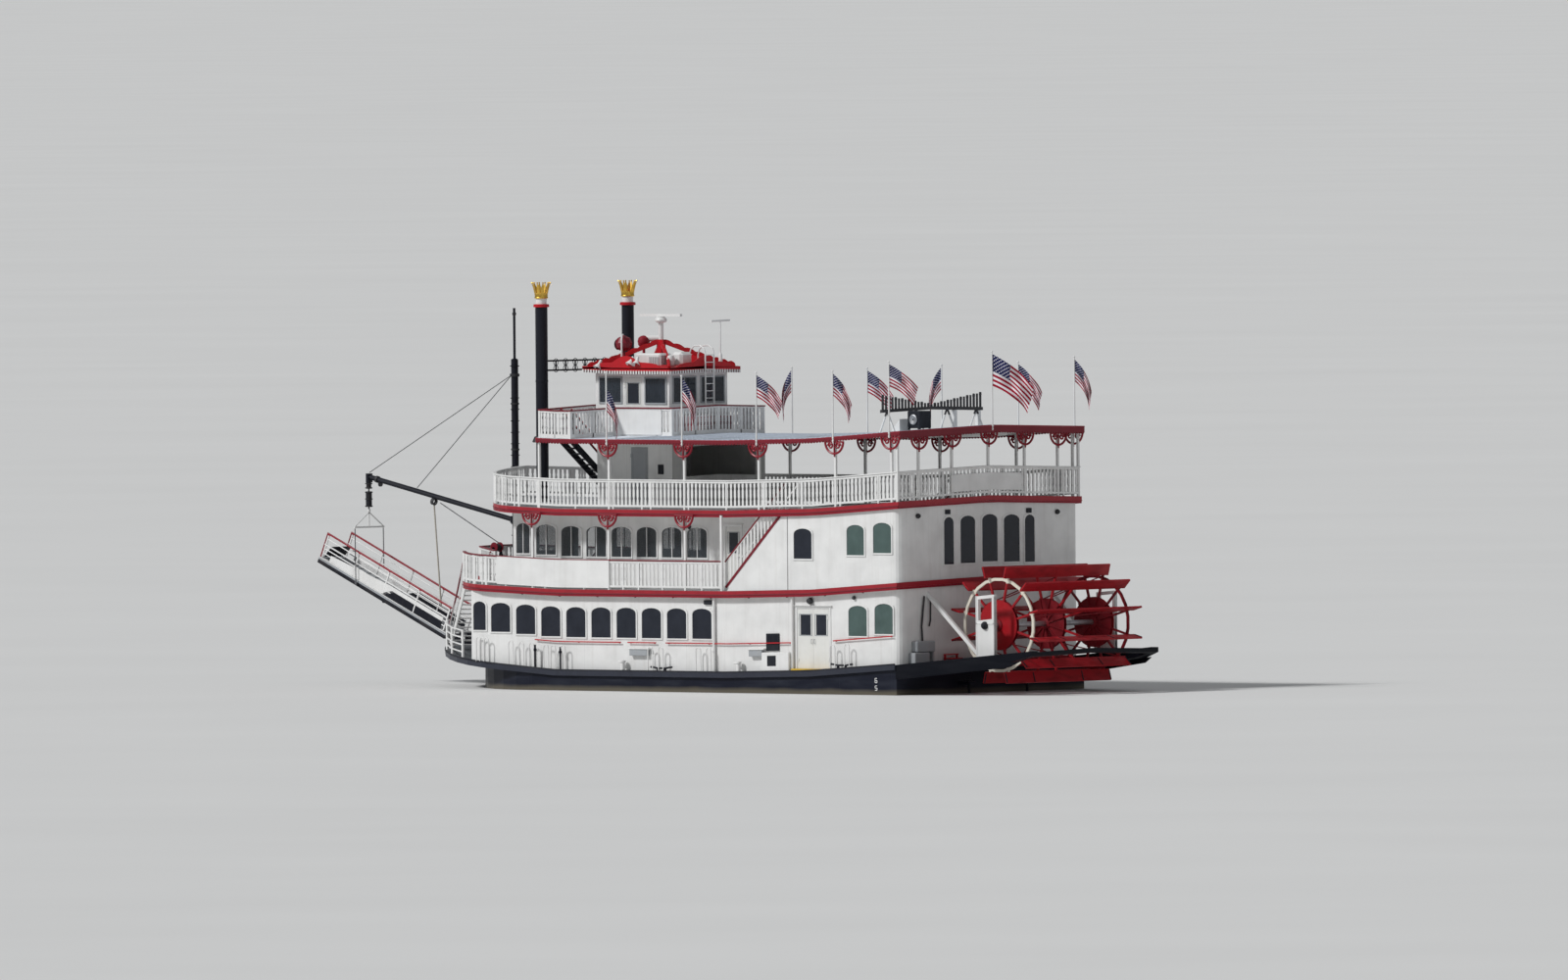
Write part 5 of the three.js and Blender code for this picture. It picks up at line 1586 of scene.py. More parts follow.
@dataclass
class Pilothouse:
    """The pilothouse roof's crest boards, ribs and teeth, and what stands on it."""

    front: float = -7.4
    aft: float = -3.27
    half: float = 1.83
    eave: float = EAVE + rise(-5.3, 1.83, ROOF)

    def crest(self, length: float) -> Piece:
        """One ogee crest board, lengthwise along X from the origin.

        Args:
            length: its length.

        Returns:
            The piece.
        """
        half = ((0, 0.03), (0.10, 0.05), (0.16, 0.16), (0.24, 0.20), (0.34, 0.22), (0.40, 0.33), (0.45, 0.42))
        shape = (*half, (0.5, 0.44), *((1 - share, high) for share, high in reversed(half)))
        outline = [(length * share, 0, high) for share, high in shape]
        return slab([(0, 0, -0.02), *outline, (length, 0, -0.02)], (0, 0.035, 0))

    def rib(self, start: Point, end: Point) -> Piece:
        """A scalloped rib between two points of a hip.

        Args:
            start: its foot.
            end: its head.

        Returns:
            The piece.
        """
        first, last = Vector(start), Vector(end)
        aside = (last - first).cross(UPWARD).normalized() * 0.045
        top = [first.lerp(last, k / 16) - aside / 2 + UPWARD * (0.06 + 0.055 * abs(math.sin(math.pi * k / 4)))
               for k in range(17)]
        foot = [place - aside / 2 - UPWARD * 0.03 for place in (last, first)]
        return slab([*top, *foot], aside)

    def roof(self) -> None:
        """The crests, the hip ribs, the white teeth under the eaves and a dark board behind them, which is
        painted shade in the gaps between the teeth.
        """
        z = self.eave + 0.10
        turns = ((self.aft - self.front, ((self.front, -self.half, 0), (self.aft, self.half, math.pi))),
                 (2 * self.half, ((self.aft, -self.half, math.pi / 2),
                                  (self.front, self.half, -math.pi / 2))))
        crests = []
        for length, spots in turns:
            crests += copies(self.crest(length), [shifted(x, y, z, turn) for x, y, turn in spots])
        placed(crests, "pilothouse_crests", RED, smooth=0)
        middle = (self.front + self.aft) / 2
        ribs = []
        for x0, step in ((self.front, 1), (self.aft, -1)):
            for side in (-1, 1):
                points = [(x0 + step * 0.13, side * (self.half - 0.13), z + 0.07),
                          (x0 + step * 0.83, side, z + 0.34), (middle - step * 0.04, side * 0.04, 13.02)]
                ribs += [self.rib(start, end) for start, end in zip(points, points[1:])]
        placed(ribs, "pilothouse_hip_ribs", RED, smooth=0)
        tooth = slab([(-0.032, -0.012, 0.01), (-0.032, -0.012, -0.10), (0.032, -0.012, -0.10),
                      (0.032, -0.012, 0.01)], (0, 0.024, 0))
        front, aft, half = self.front - 0.012, self.aft + 0.012, self.half + 0.012
        loop = [(front, -half), (aft, -half), (aft, half), (front, half), (front, -half)]
        places = [shifted(x, y, EAVE + rise(x, y, EAVE) + 0.01, turn) for x, y, turn in spaced(loop, 0.125)]
        placed(copies(tooth, places), "pilothouse_teeth", WHITE, smooth=0)
        # Painted shade: a dark board just behind the teeth, so that the gaps between them look shaded.
        loop = [(x + (0.05 if x < middle else -0.05), y - math.copysign(0.05, y)) for x, y in loop]
        board = ribbon(stepped(loop, EAVE - 0.085), 0.02, 0.08)
        placed(board, "pilothouse_soffit_board", DARK_RED, smooth=0)

    def ladder(self) -> None:
        """The white ladder up the after wall, hooped over the eaves."""
        wall, rails = -3.18, (-0.08, 0.36)
        hoop = ((wall, 12.6), (-3.24, 12.78), (-3.42, 12.88), (-3.7, 12.87), (-3.86, 12.74), (-3.92, 12.55),
                (-3.92, 12.25))
        parts = [rod([up(wall, y, ROOF), *((x, y, z) for x, z in hoop)], 0.026, 8) for y in rails]
        parts += [rod([(wall, y, 10.05 + 0.25 * k) for y in rails], 0.017, 6) for k in range(11)]
        placed(parts, "pilothouse_ladder", WHITE)

    def cooling(self) -> None:
        """The air conditioners and the grilles on their sides."""
        units = [block((-5.45, -1.25, 12.10), (-4.25, -0.6, 12.62), 0.06),
                 block((-4.15, -0.8, 12.10), (-3.65, -0.2, 12.66), 0.09)]
        units += [spun([(0, 0), (0.12, 0), (0.15, 0.3), (0.11, 0.42), (0, 0.45)], (x, y, 12.12), steps=16)
                  for x, y in ((-4.3, -0.42), (-3.95, -1.02))]
        placed(units, "air_conditioners", WHITE)
        bars = []
        for k in range(6):
            bars.append(block((-4.253, -1.2 + 0.09 * k, 12.2), (-4.24, -1.15 + 0.09 * k, 12.55)))
            bars.append(block((-4.75 + 0.08 * k, -1.262, 12.2), (-4.71 + 0.08 * k, -1.245, 12.5)))
        placed(bars, "air_conditioner_grilles", GREY, smooth=0)

    def gear(self) -> None:
        """The second searchlight, the first one's yoke and lens, the aerial, the horns and the hood."""
        lamp_x, lamp_y = -6.66, 0.55
        lamp = spun([(0, -0.22), (0.12, -0.2), (0.2, -0.1), (0.22, 0.03), (0.19, 0.14), (0.1, 0.21),
                     (0, 0.23)], (lamp_x, lamp_y, 12.98), steps=20)
        post = rod([(lamp_x, lamp_y, z) for z in (12.1, 12.8)], 0.05, 8)
        placed([lamp, post], "second_searchlight", CRIMSON)
        hood = spun([(0, -0.26), (0.09, -0.26), (0.11, -0.22), (0.11, 0.24), (0.12, 0.27), (0, 0.27)],
                    (-6.46, 0.72, 13.1), (0.75, 0.66, 0), 20)
        placed(hood, "second_searchlight_hood", WHITE)
        yoke = [(-5.85, -1.42, 12.16), (-5.72, -1.62, 12.2), (-5.72, -1.62, 13.08), (-5.8, -1.52, 13.24),
                (-5.9, -1.35, 13.27)]
        placed(rod(yoke, 0.03, 8), "searchlight_yoke", WHITE)
        glass = spun([(0, 0), (0.2, 0), (0.18, 0.03), (0, 0.05)], (-6.22, -1.25, 12.93), (-1, 0, 0), 20)
        placed(glass, "searchlight_lens", STEEL)
        x, y = -3.45, 1.0
        aerial = [rod([(x, y, 12.1), (x, y, 13.72)], 0.024, 8),
                  rod([(x, 0.52, 13.72), (x, 1.48, 13.74)], 0.036, 8),
                  spun([(0, 0), (0.08, 0), (0.06, 0.45), (0.03, 0.5), (0, 0.5)], (x, y, 12.1), steps=12)]
        placed(aerial, "aerial", WHITE)
        bell = [(0, 0), (0.05, 0), (0.06, 0.16), (0.15, 0.32), (0.13, 0.32), (0, 0.14)]
        horns = [spun(bell, (x, -1.72, z), (0.15 * lean, -0.5, -0.8), 16)
                 for x, z, lean in ((-5.08, 12.5, -1), (-4.86, 12.5, 1), (-6.6, 12.38, -1))]
        placed(horns, "horns", WHITE)
        dome = spun([(0.088, 0.58), (0.20, 0.62), (0.22, 0.68), (0.18, 0.75), (0.06, 0.785), (0.06, 0.6)],
                    (-5.335, 0, 12.95 + rise(-5.335, 0, ROOF)), steps=24)
        placed(dome, "scanner_hood", WHITE)

    def build(self) -> None:
        """Builds all of it."""
        self.roof()
        self.ladder()
        self.cooling()
        self.gear()


# The main deck and the walls


@dataclass
class DeckGear:
    """Hoops, pipe rails, cleats, bollards, lockers and lamps along the main deck's side walls."""

    hoops: tuple[float, ...] = (-9.70, -9.50, -9.28, -8.08, -7.58, -7.10, -6.42, -6.08, -5.62, -1.50, -1.0,
                                0.76, 1.25, 7.05, 7.72)
    dark_posts: tuple[float, ...] = (-6.93, -5.74)
    runs: tuple[Flat, ...] = ((-7.07, -3.02), (-2.69, -1.36), (-0.9, 5.0), (6.95, 9.72))
    lockers: tuple[Flat, ...] = ((-2.56, -1.73), (3.05, 3.66))

    def rails(self, s: int) -> list[Piece]:
        """The red pipe along one wall, in four lengths, with its brackets.

        Args:
            s: the side, -1 or 1.

        Returns:
            Its parts.
        """
        line, parts = s * 4.73, []
        for start, end in self.runs:
            parts.append(rod(stepped([(start, line), (end, line)], MAIN_DECK + 1.0, 0.5), 0.021, 8))
            count = max(2, round((end - start) / 1.4))
            for k in range(count):
                x = start + 0.1 + (end - start - 0.2) * k / (count - 1)
                parts.append(rod([up(x, s * WALL_FACE, MAIN_DECK + 0.97), up(x, line, MAIN_DECK + 0.985)],
                                 0.012, 6))
        return parts

    def row(self, piece: Piece, s: int, spots: Iterable[Flat]) -> list[Piece]:
        """Copies of a piece on the main deck of one side, at pairs of x and distance from the middle."""
        return copies(piece, [shifted(*up(x, s * y, MAIN_DECK)) for x, y in spots])

    def edge(self, x: float) -> float:
        """How far from the centreline the main deck's edge gear stands at x."""
        return 4.88 - 0.08 * max(0, MAIN_PLAN.start - x) ** 2

    def deck(self, s: int, word: str) -> None:
        """What stands on the deck of one side: hoops, posts, cleats and bollards.

        Args:
            s: the side, -1 or 1.
            word: the side's name.
        """
        hoop = rod([(-0.11, 0, 0), (-0.11, 0, 0.76), (-0.07, 0, 0.84), (0, 0, 0.87), (0.07, 0, 0.84),
                    (0.11, 0, 0.76), (0.11, 0, 0)], 0.021, 8)
        placed(self.row(hoop, s, [(x, self.edge(x)) for x in self.hoops]), f"deck_hoops_{word}", WHITE)
        post = spun([(0, 0), (0.055, 0), (0.055, 0.02), (0.035, 0.03), (0.035, 0.60), (0.06, 0.62),
                     (0.06, 0.68), (0.035, 0.70), (0.035, 0.82), (0, 0.83)], (0, 0, 0), steps=12)
        placed(self.row(post, s, [(x, self.edge(x)) for x in self.dark_posts]), f"dark_posts_{word}", BLACK)
        half = ((0.5, 0.17), (0.36, 0.16), (0.2, 0.13))
        horn = [*((-x, 0, z) for x, z in half), *((x, 0, z) for x, z in reversed(half))]
        stem = [(0, 0), (0.11, 0), (0.09, 0.03), (0.05, 0.05), (0.05, 0.13), (0, 0.13)]
        cleat = joined([rod(horn, 0.035, 8), *(spun(stem, (x, 0, 0), steps=12) for x in (-0.17, 0.17))])
        placed(self.row(cleat, s, ((-1.0, 4.85), (7.45, 4.85))), f"cleats_{word}", BLACK)
        bollard = spun([(0, 0), (0.10, 0), (0.10, 0.02), (0.08, 0.03), (0.08, 0.30), (0.11, 0.32),
                        (0.11, 0.38), (0, 0.40)], (0, 0, 0), steps=16)
        arm = rod([(-0.2, 0, 0.33), (0, 0, 0.33)], 0.035, 8)
        placed(self.row(joined([bollard, arm]), s, ((-2.84, 4.83), (2.6, 4.83))), f"bollards_{word}", WHITE)

    def wall(self, s: int, word: str) -> None:
        """What hangs on one wall or stands against it: pipes, boxes and lamps.

        Args:
            s: the side, -1 or 1.
            word: the side's name.
        """
        pipes = [rod([up(x, s * 4.71, z) for z in (MAIN_DECK, DECK_2 - DECK_EDGE)], 0.055, 10)
                 for x in (1.36, 5.03)]
        placed(pipes, f"wall_pipes_{word}", WHITE)
        face, fine = WALL_FACE, 0.012
        cabinet = [(3.70, 4.98, face, 4.86, 1.68, 2.33, 0.02),
                   *((x, x + 0.08, 4.655, 4.85, 1.655, 1.68, 0) for x in (3.74, 4.86))]
        boxes = (
            ("wall_lockers", GREY, 0.6, [(x0, x1, face, 4.80, 2.2, 2.42, fine) for x0, x1 in self.lockers]),
            ("wall_locker_lids", WHITE, 0.6, [(x0 - 0.03, x1 + 0.12, face, 4.83, 2.42, 2.47, fine)
                                              for x0, x1 in self.lockers]),
            ("dark_panel", GASKET, 0, [(3.78, 4.38, face, 4.70, 2.38, 2.98, 0.01)]),
            ("dark_panel_screen", BLACK, 0, [(3.84, 4.32, 4.70, 4.706, 2.68, 2.92, 0)]),
            ("deck_cabinet", WHITE, 0.6, cabinet),
            ("deck_cabinet_hatch", GASKET, 0, [(3.98, 4.38, 4.86, 4.868, 1.86, 2.22, 0)]),
            ("wall_speaker", GASKET, 0, [(0.88, 1.24, face, 4.72, 4.0, 4.15, 0.01)]),
        )
        for name, finish, smooth, sizes in boxes:
            parts = [lift(block((x0, s * y0, z0), (x1, s * y1, z1), bevel))
                     for x0, x1, y0, y1, z0, z1, bevel in sizes]
            placed(parts, f"{name}_{word}", finish, smooth=smooth)
        lamp = spun([(0, 0), (0.10, 0), (0.10, 0.02), (0.12, 0.08), (0.09, 0.15), (0, 0.17)], (0, 0, 0),
                    (0, s, 0), 16)
        places = [shifted(*up(x, s * y, z)) @ Matrix.Scale(size, 4) for x, y, z, size in
                  ((5.87, 4.65, 4.08, 1.0), (7.9, 4.65, 4.08, 0.6), (-0.6, 3.75, 6.62, 0.6))]
        placed(copies(lamp, places), f"wall_lamps_{word}", IRON)

    def marks(self, s: int) -> list[Piece]:
        """Plain draught marks: two numerals made of strokes on the hull's quarter.

        Args:
            s: the side, -1 or 1.

        Returns:
            The strokes.
        """
        strokes = {"a": (0, 1, 1, 1), "c": (1, 0, 1, 0.5), "d": (0, 0, 1, 0), "e": (0, 0, 0, 0.5),
                   "f": (0, 0.5, 0, 1), "g": (0, 0.5, 1, 0.5)}
        middle, face, wide, high = 9.05, s * 4.852, 0.09, 0.15
        parts = []
        for shape, foot in (("afgcd", 1.12), ("afgcde", 1.38)):
            for key in shape:
                x0, z0, x1, z1 = strokes[key]
                ends = [(middle - s * wide * (x - 0.5), face, foot + high * z)
                        for x, z in ((x0, z0), (x1, z1))]
                parts.append(bar(*ends, *((0.012, 0.024) if z0 == z1 else (0.024, 0.012))))
        return parts

    def build(self) -> None:
        """Builds both sides."""
        for side in Side:
            s, word = side.value, side.word
            placed(self.rails(s), f"pipe_rail_{word}", RED)
            self.deck(s, word)
            self.wall(s, word)
            placed(self.marks(s), f"draught_marks_{word}", WHITE, smooth=0)


@dataclass
class SternGear:
    """What hangs on the after wall and stands by the wheel."""

    wall: float = AFT_FACE + 0.002

    def build(self) -> None:
        """Builds it."""
        vents = [block((self.wall, y - 0.13, z), (10.03, y + 0.13, z + 0.16), 0.012)
                 for y, z in ((-2.15, 7.15), (2.05, 7.12))]
        placed(vents, "stern_vents", GASKET, smooth=0)
        lamp = spun([(0, 0), (0.08, 0), (0.09, 0.06), (0.06, 0.12), (0, 0.13)], (0, 0, 0), (1, 0, 0), 14)
        places = [shifted(self.wall, y, z) for y, z in ((-3.7, 7.12), (3.5, 7.12), (0.0, 4.55), (3.9, 4.45))]
        placed(copies(lamp, places), "stern_lamps", IRON)
        boxes = [block((9.985, -4.05, 2.42), (10.25, -3.1, 2.80), 0.03),
                 block((9.985, -4.2, 2.02), (10.3, -3.45, 2.4), 0.02),
                 block((10.02, -3.2, 2.02), (10.2, -3.12, 2.44))]
        placed(boxes, "stern_junction_box", GREY)
        cables = [rod([(10.05, -3.55, 2.8), (10.06, -3.6, 3.3), (10.04, -3.5, 3.9), (10.06, -3.45, 4.35)],
                      0.035, 8),
                  rod([(10.05, -3.2, 3.3), (10.06, -3.15, 3.5), (10.05, -3.12, 4.4)], 0.03, 8)]
        placed(cables, "stern_cables", IRON)
        for side in Side:
            self.pedestal(side.value, side.word)
        steps = [block((10.06, -2.5, 2.01 + 0.14 * k), (10.6 - 0.2 * k, -1.85, 2.05 + 0.14 * k), 0.01)
                 for k in range(3)]
        steps += [block((10.08, y, 1.99), (10.16, y + 0.04, 2.3)) for y in (-2.5, -1.89)]
        placed(steps, "stern_steps", RED, smooth=0)

    def pedestal(self, s: int, word: str) -> None:
        """The bearing and the flanges of the wheel's pedestal on one side, and the shaft's cap.

        Args:
            s: the side, -1 or 1.
            word: the side's name.
        """
        x, z = SHAFT
        deck = MAIN_DECK + rise(x, 3.12, MAIN_DECK)
        bearing = spun([(0.093, -0.12), (0.13, -0.12), (0.14, -0.09), (0.14, 0.09), (0.13, 0.12),
                        (0.093, 0.12)], (x, s * 3.12, z), (0, 1, 0), 24)
        placed(bearing, f"wheel_bearing_{word}", IRON)
        edges = [block((x0, s * 3.04, deck + low), (x1, s * 3.20, deck + high), 0.01)
                 for x0, x1, low, high in ((12.205, 12.265, 0.02, 2.07), (12.995, 13.055, 0.02, 2.07),
                                           (12.21, 13.05, 1.1, 1.16))]
        placed(edges, f"wheel_pedestal_flanges_{word}", WHITE, smooth=0)
        crank = spun([(0, 0), (0.11, 0), (0.11, 0.03), (0.07, 0.04), (0.07, 0.07), (0, 0.08)],
                     (x, s * 3.245, z), (0, s, 0), 20)
        placed(crank, f"wheel_shaft_cap_{word}", GASKET, "paddle_wheel")


@dataclass
class Wheel:
    """Discs, hub spokes, braces and board irons of the paddle wheel. All of it turns."""

    body: str = "paddle_wheel"
    planes: tuple[float, ...] = (-2.45, 0.0, 2.45)
    angles: tuple[int, ...] = tuple(range(15, 375, 30))

    def at(self, radius: float, angle: float, y: float) -> Point:
        """A point at a radius and an angle in degrees."""
        turn = math.radians(angle)
        return (SHAFT[0] + radius * math.cos(turn), y, SHAFT[1] + radius * math.sin(turn))

    def build(self) -> None:
        """Builds the fittings of all three frames."""
        bright, dark, spokes = [], [], []
        for y in self.planes:
            for out in (-1, 1):
                face, centre = 0.052 * out, (SHAFT[0], y, SHAFT[1])
                outer = y * out > 1
                disc = [(0.12, face), (0.87, face), (0.87, face + 0.014 * out), (0.12, face + 0.02 * out)]
                # The outer discs get the plain wheel red, the inner ones the darker red that is painted
                # shade.
                (bright if outer else dark).append(spun(disc, centre, (0, 1, 0), 36))
                hub = [(0.095, face), (0.22, face), (0.20, face + 0.06 * out), (0.095, face + 0.08 * out)]
                spokes.append(spun(hub, centre, (0, 1, 0), 16))
                side = y + face + 0.03 * out
                spokes += [bar(self.at(0.2, angle, side), self.at(0.9, angle, side), 0.06, 0.035)
                           for angle in (() if outer else self.angles)]
        placed(bright, "wheel_discs_outer", WHEEL_RED, self.body)
        placed(dark, "wheel_discs_inner", WHEEL_SHADED_RED, self.body)
        placed(spokes, "wheel_spokes", WHEEL_SHADED_RED, self.body)
        braces = [rod([self.at(0.95, angle, y0), self.at(1.66, angle, y1)], 0.022, 6)
                  for angle in self.angles[::2] for y0, y1 in zip(self.planes, self.planes[1:])]
        placed(braces, "wheel_braces", WHEEL_SHADED_RED, self.body)
        irons = [bar(self.at(1.72, angle + 1.03, y), self.at(2.06, angle + 1.03, y), 0.05, 0.014)
                 for angle in self.angles for y in (-2.68, -1.25, 1.25, 2.68)]
        placed(irons, "wheel_board_irons", GASKET, self.body, smooth=0)


@dataclass
class BowGear:
    """The fittings of the boom, the stage, the hoist, the winch, the stairs and the mast."""

    pivot: Point = (-15.12, 0.0, 2.66)
    tilt: float = 0.4119
    boom_axis: Point = (-6.77, 0, 1.44)
    sheave: Flat = (-18.76, 7.94)

    def at(self, along: float, y: float, height: float) -> Point:
        """A point on the stage: along it from the pivot, across, and over its girders."""
        cos, sin = math.cos(self.tilt), math.sin(self.tilt)
        return (self.pivot[0] - cos * along + sin * height, y, self.pivot[2] + sin * along + cos * height)

    def stage(self) -> None:
        """Rails, toe boards, treads and rollers of the stage, and a black plate on each side that is painted
        shade.
        """
        reds, whites, black_parts_and_shade_plates = [], [], []
        for y in (-0.61, 0.61):
            line = [self.at(along, y, height) for along, height in ((0.12, 1.02), (6.56, 1.02), (6.56, 0.1))]
            reds.append(rod(line, 0.026, 8))
            whites += [rod([self.at(0.15, y, height), self.at(6.5, y, height)], 0.02, 8)
                       for height in (0.28, 0.45, 0.82)]
            # The black plate on each side is painted shade; the white one is a toe board.
            for plates, height, shape in (
                    (black_parts_and_shade_plates, -0.10, ((0.35, 0.1), (3.3, 0.1), (2.85, 0.38), (0.35, 0.38))),
                    (whites, 0.105, ((0.35, 0.40), (2.95, 0.40), (3.4, 0.12), (6.1, 0.12), (6.1, 0.34),
                                     (3.1, 0.54), (0.35, 0.54)))):
                plates.append(bar(self.at(0.0, y, height), self.at(6.58, y, height), 0.13, 0.02))
                plates.append(slab([self.at(along, y, over) for along, over in shape],
                                   (0, math.copysign(0.022, y), 0)))
        end = ((6.5, -0.52, 0.12), (6.5, 0.52, 0.12), (6.3, 0.52, 0.6), (6.3, -0.52, 0.6))
        black_parts_and_shade_plates.append(slab([self.at(*spot) for spot in end], (0.03, 0, 0)))
        black_parts_and_shade_plates.append(rod([self.at(3.3, y, -0.14) for y in (-0.5, 0.5)], 0.075, 12))
        treads = [bar(self.at(0.3 + 0.4 * k, -0.54, 0.11), self.at(0.3 + 0.4 * k, 0.54, 0.11), 0.05, 0.018)
                  for k in range(16)]
        placed(reds, "stage_handrails", CRIMSON, "stage")
        placed(whites, "stage_rails", WHITE, "stage")
        placed(black_parts_and_shade_plates, "stage_girder_flanges", BLACK, "stage", smooth=0)
        placed(treads, "stage_treads", GREY, "stage", smooth=0)

    def rigging(self) -> None:
        """Bands, sheave and lines on the boom, and the hoist's bands and slings."""
        bands = [collar(0.091, 0.13, 0.06, (-16.2, 0, 7.35), self.boom_axis, 20),
                 collar(0.091, 0.12, 0.05, (-18.9, 0, 8.105), self.boom_axis, 20)]
        placed(bands, "boom_bands", IRON, "boom")
        head = (-12.45, 0, 11.8)
        stays = [rod([head, end], 0.013, 6) for end in ((-19.28, 0, 8.342), (-17.0, 0, 7.82))]
        stays.append(collar(0.12, 0.17, 0.05, (MAST_X, 0, 11.8)))
        placed(stays, "thin_stays", IRON, "boom", replaces=("boom_stays",))
        x, z = self.sheave
        wheel = spun([(0.03, -0.03), (0.09, -0.03), (0.075, 0), (0.09, 0.03), (0.03, 0.03)], (x, 0, z),
                     (0, 1, 0), 20)
        cheeks = [rod([(x, y, z + 0.11), (x, y, z - 0.06)], 0.025, 8) for y in (-0.05, 0.05)]
        placed([wheel, *cheeks], "boom_sheave", IRON, "boom")
        placed(rod([(-16.2, 0, 7.24), (-15.9, 0, 3.7)], 0.028, 8), "heel_rope", ROPE, "boom")
        placed(rod([(-15.9, 0, 7.3), (-13.12, 0, 5.92)], 0.018, 6), "boom_guy", IRON, "boom")
        bands = [collar(inner, outer, 0.02, (HOIST_X, 0, z), steps=16)
                 for inner, outer, z in ((0.092, 0.13, 7.95), (0.092, 0.13, 7.80), (0.112, 0.135, 7.65),
                                         (0.112, 0.135, 7.41), (0.112, 0.135, 7.16))]
        placed(bands, "hoist_bands", IRON, "stage_hoist")
        link = spun([(0, 0), (0.05, 0.02), (0.06, 0.08), (0.03, 0.14), (0, 0.15)], (HOIST_X, 0, 6.93),
                    steps=12)
        slings = [rod([(HOIST_X, 0, 6.95), (HOIST_X, y, 6.46)], 0.022, 6) for y in (-0.72, 0.72)]
        placed([link, *slings], "hoist_slings", WHITE, "stage_hoist")

    def winch(self) -> None:
        """The red winch drum on deck 2, ahead of the saloon."""
        x, y, z = up(-12.38, -0.9, DECK_2)
        axle = z + 1.0
        drum = spun([(0, -0.16), (0.17, -0.16), (0.17, -0.13), (0.1, -0.12), (0.1, 0.12), (0.17, 0.13),
                     (0.17, 0.16), (0, 0.16)], (x, y, axle), (0, 1, 0), 24)
        placed(drum, "winch_drum", DARK_RED)
        legs = []
        for end in (y - 0.2, y + 0.2):
            legs += [bar((x + dx, end, z + 0.002), (x, end, axle), 0.05, 0.05) for dx in (-0.18, 0.18)]
            legs.append(block((x - 0.24, end - 0.04, z + 0.002), (x + 0.24, end + 0.04, z + 0.04), 0.01))
        placed(legs, "winch_frame", BLACK, smooth=0)
        rope = [(x + 0.115 * math.cos(0.8 * k), y - 0.11 + 0.0028 * k, axle + 0.115 * math.sin(0.8 * k))
                for k in range(80)]
        placed(rod(rope, 0.016, 6), "winch_rope", IRON)

    def stairs(self) -> None:
        """Handrails and midrails of the bow stairs, and the rails of the side and roof stairs."""
        for side in Side:
            self.bow_stair(-side.value, side.word)
            self.side_stair(-side.value, side.word)
        rails = [rod([up(x, -3.58, ROOF + 0.97), up(x, -0.72, DECK_3 + 0.97)], 0.03, 8)
                 for x in (-6.82, -6.32)]
        placed(rails, "roof_stair_handrails", RED)

    def bow_stair(self, s: int, word: str) -> None:
        """The rails of one bow stair.

        Args:
            s: 1 for port, -1 for starboard.
            word: the side's name.
        """
        down, across, head = (-0.8211, 0.5708), (-0.5708, -0.8211), (-10.897, -2.8046)
        length, fall = 2.62, 2.83
        rails, low = [], []
        for v in (0.02, 0.92):
            line = []
            for u in (0.0, 1.3, length):
                x = head[0] + down[0] * u + across[0] * v
                y = (head[1] + down[1] * u + across[1] * v) * s
                line.append(up(x, y, DECK_2 + 0.985 - fall * u / length))
            rails.append(rod(line, 0.032, 8))
            low.append(rod([(x, y, z - 0.52) for x, y, z in line], 0.016, 6))
        placed(rails, f"bow_stair_handrails_{word}", DARK_RED)
        placed(low, f"bow_stair_midrails_{word}", WHITE)

    def side_stair(self, s: int, word: str) -> None:
        """The handrail, the stringer and the balusters of one side stair.

        Args:
            s: 1 for port, -1 for starboard.
            word: the side's name.
        """
        ends = ((4.72, DECK_3 + 0.975), (3.26, DECK_3 - 0.41), (1.80, DECK_2 + 1.0))
        line = [(x, s * y, z) for x, y, z in (up(x, -4.58, z) for x, z in ends)]
        placed(rod(line, 0.038, 8), f"side_stair_handrail_{word}", DARK_RED)
        stringer = bar(up(1.84, s * -4.605, DECK_2 + 0.12), up(4.4, s * -4.605, DECK_2 + 2.57), 0.028, 0.09)
        placed(stringer, f"side_stair_stringer_{word}", DARK_RED)
        slats = []
        for k in range(18):
            share = (k + 0.5) / 18
            x, z = 1.8 + 2.92 * share, DECK_2 + 0.16 + 2.79 * share
            foot = z + rise(x, 4.6, z)
            slats.append(block((x - 0.035, s * -4.575, foot), (x + 0.035, s * -4.59, foot + 0.80)))
        placed(slats, f"side_stair_balusters_{word}", WHITE, smooth=0)

    def mast(self) -> None:
        """Bands, rungs and a cap on the mast."""
        parts = [collar(0.126, 0.15, 0.03, (MAST_X, 0, z)) for z in (7.6, 9.2, 10.8)]
        parts.append(spun([(0.045, 0), (0.07, 0), (0.07, 0.08), (0.045, 0.1)], (MAST_X, 0, 13.9), steps=12))
        boom_foot = 6.75
        heights = [5.4 + 0.4 * k for k in range(15)]
        parts += [rod([(MAST_X, -0.22, z), (MAST_X, 0.22, z)], 0.018, 6) for z in heights
                  if abs(z - boom_foot) > 0.3]
        placed(parts, "mast_bands", IRON)

    def build(self) -> None:
        """Builds all of it."""
        for part in (self.stage, self.rigging, self.winch, self.stairs, self.mast):
            part()


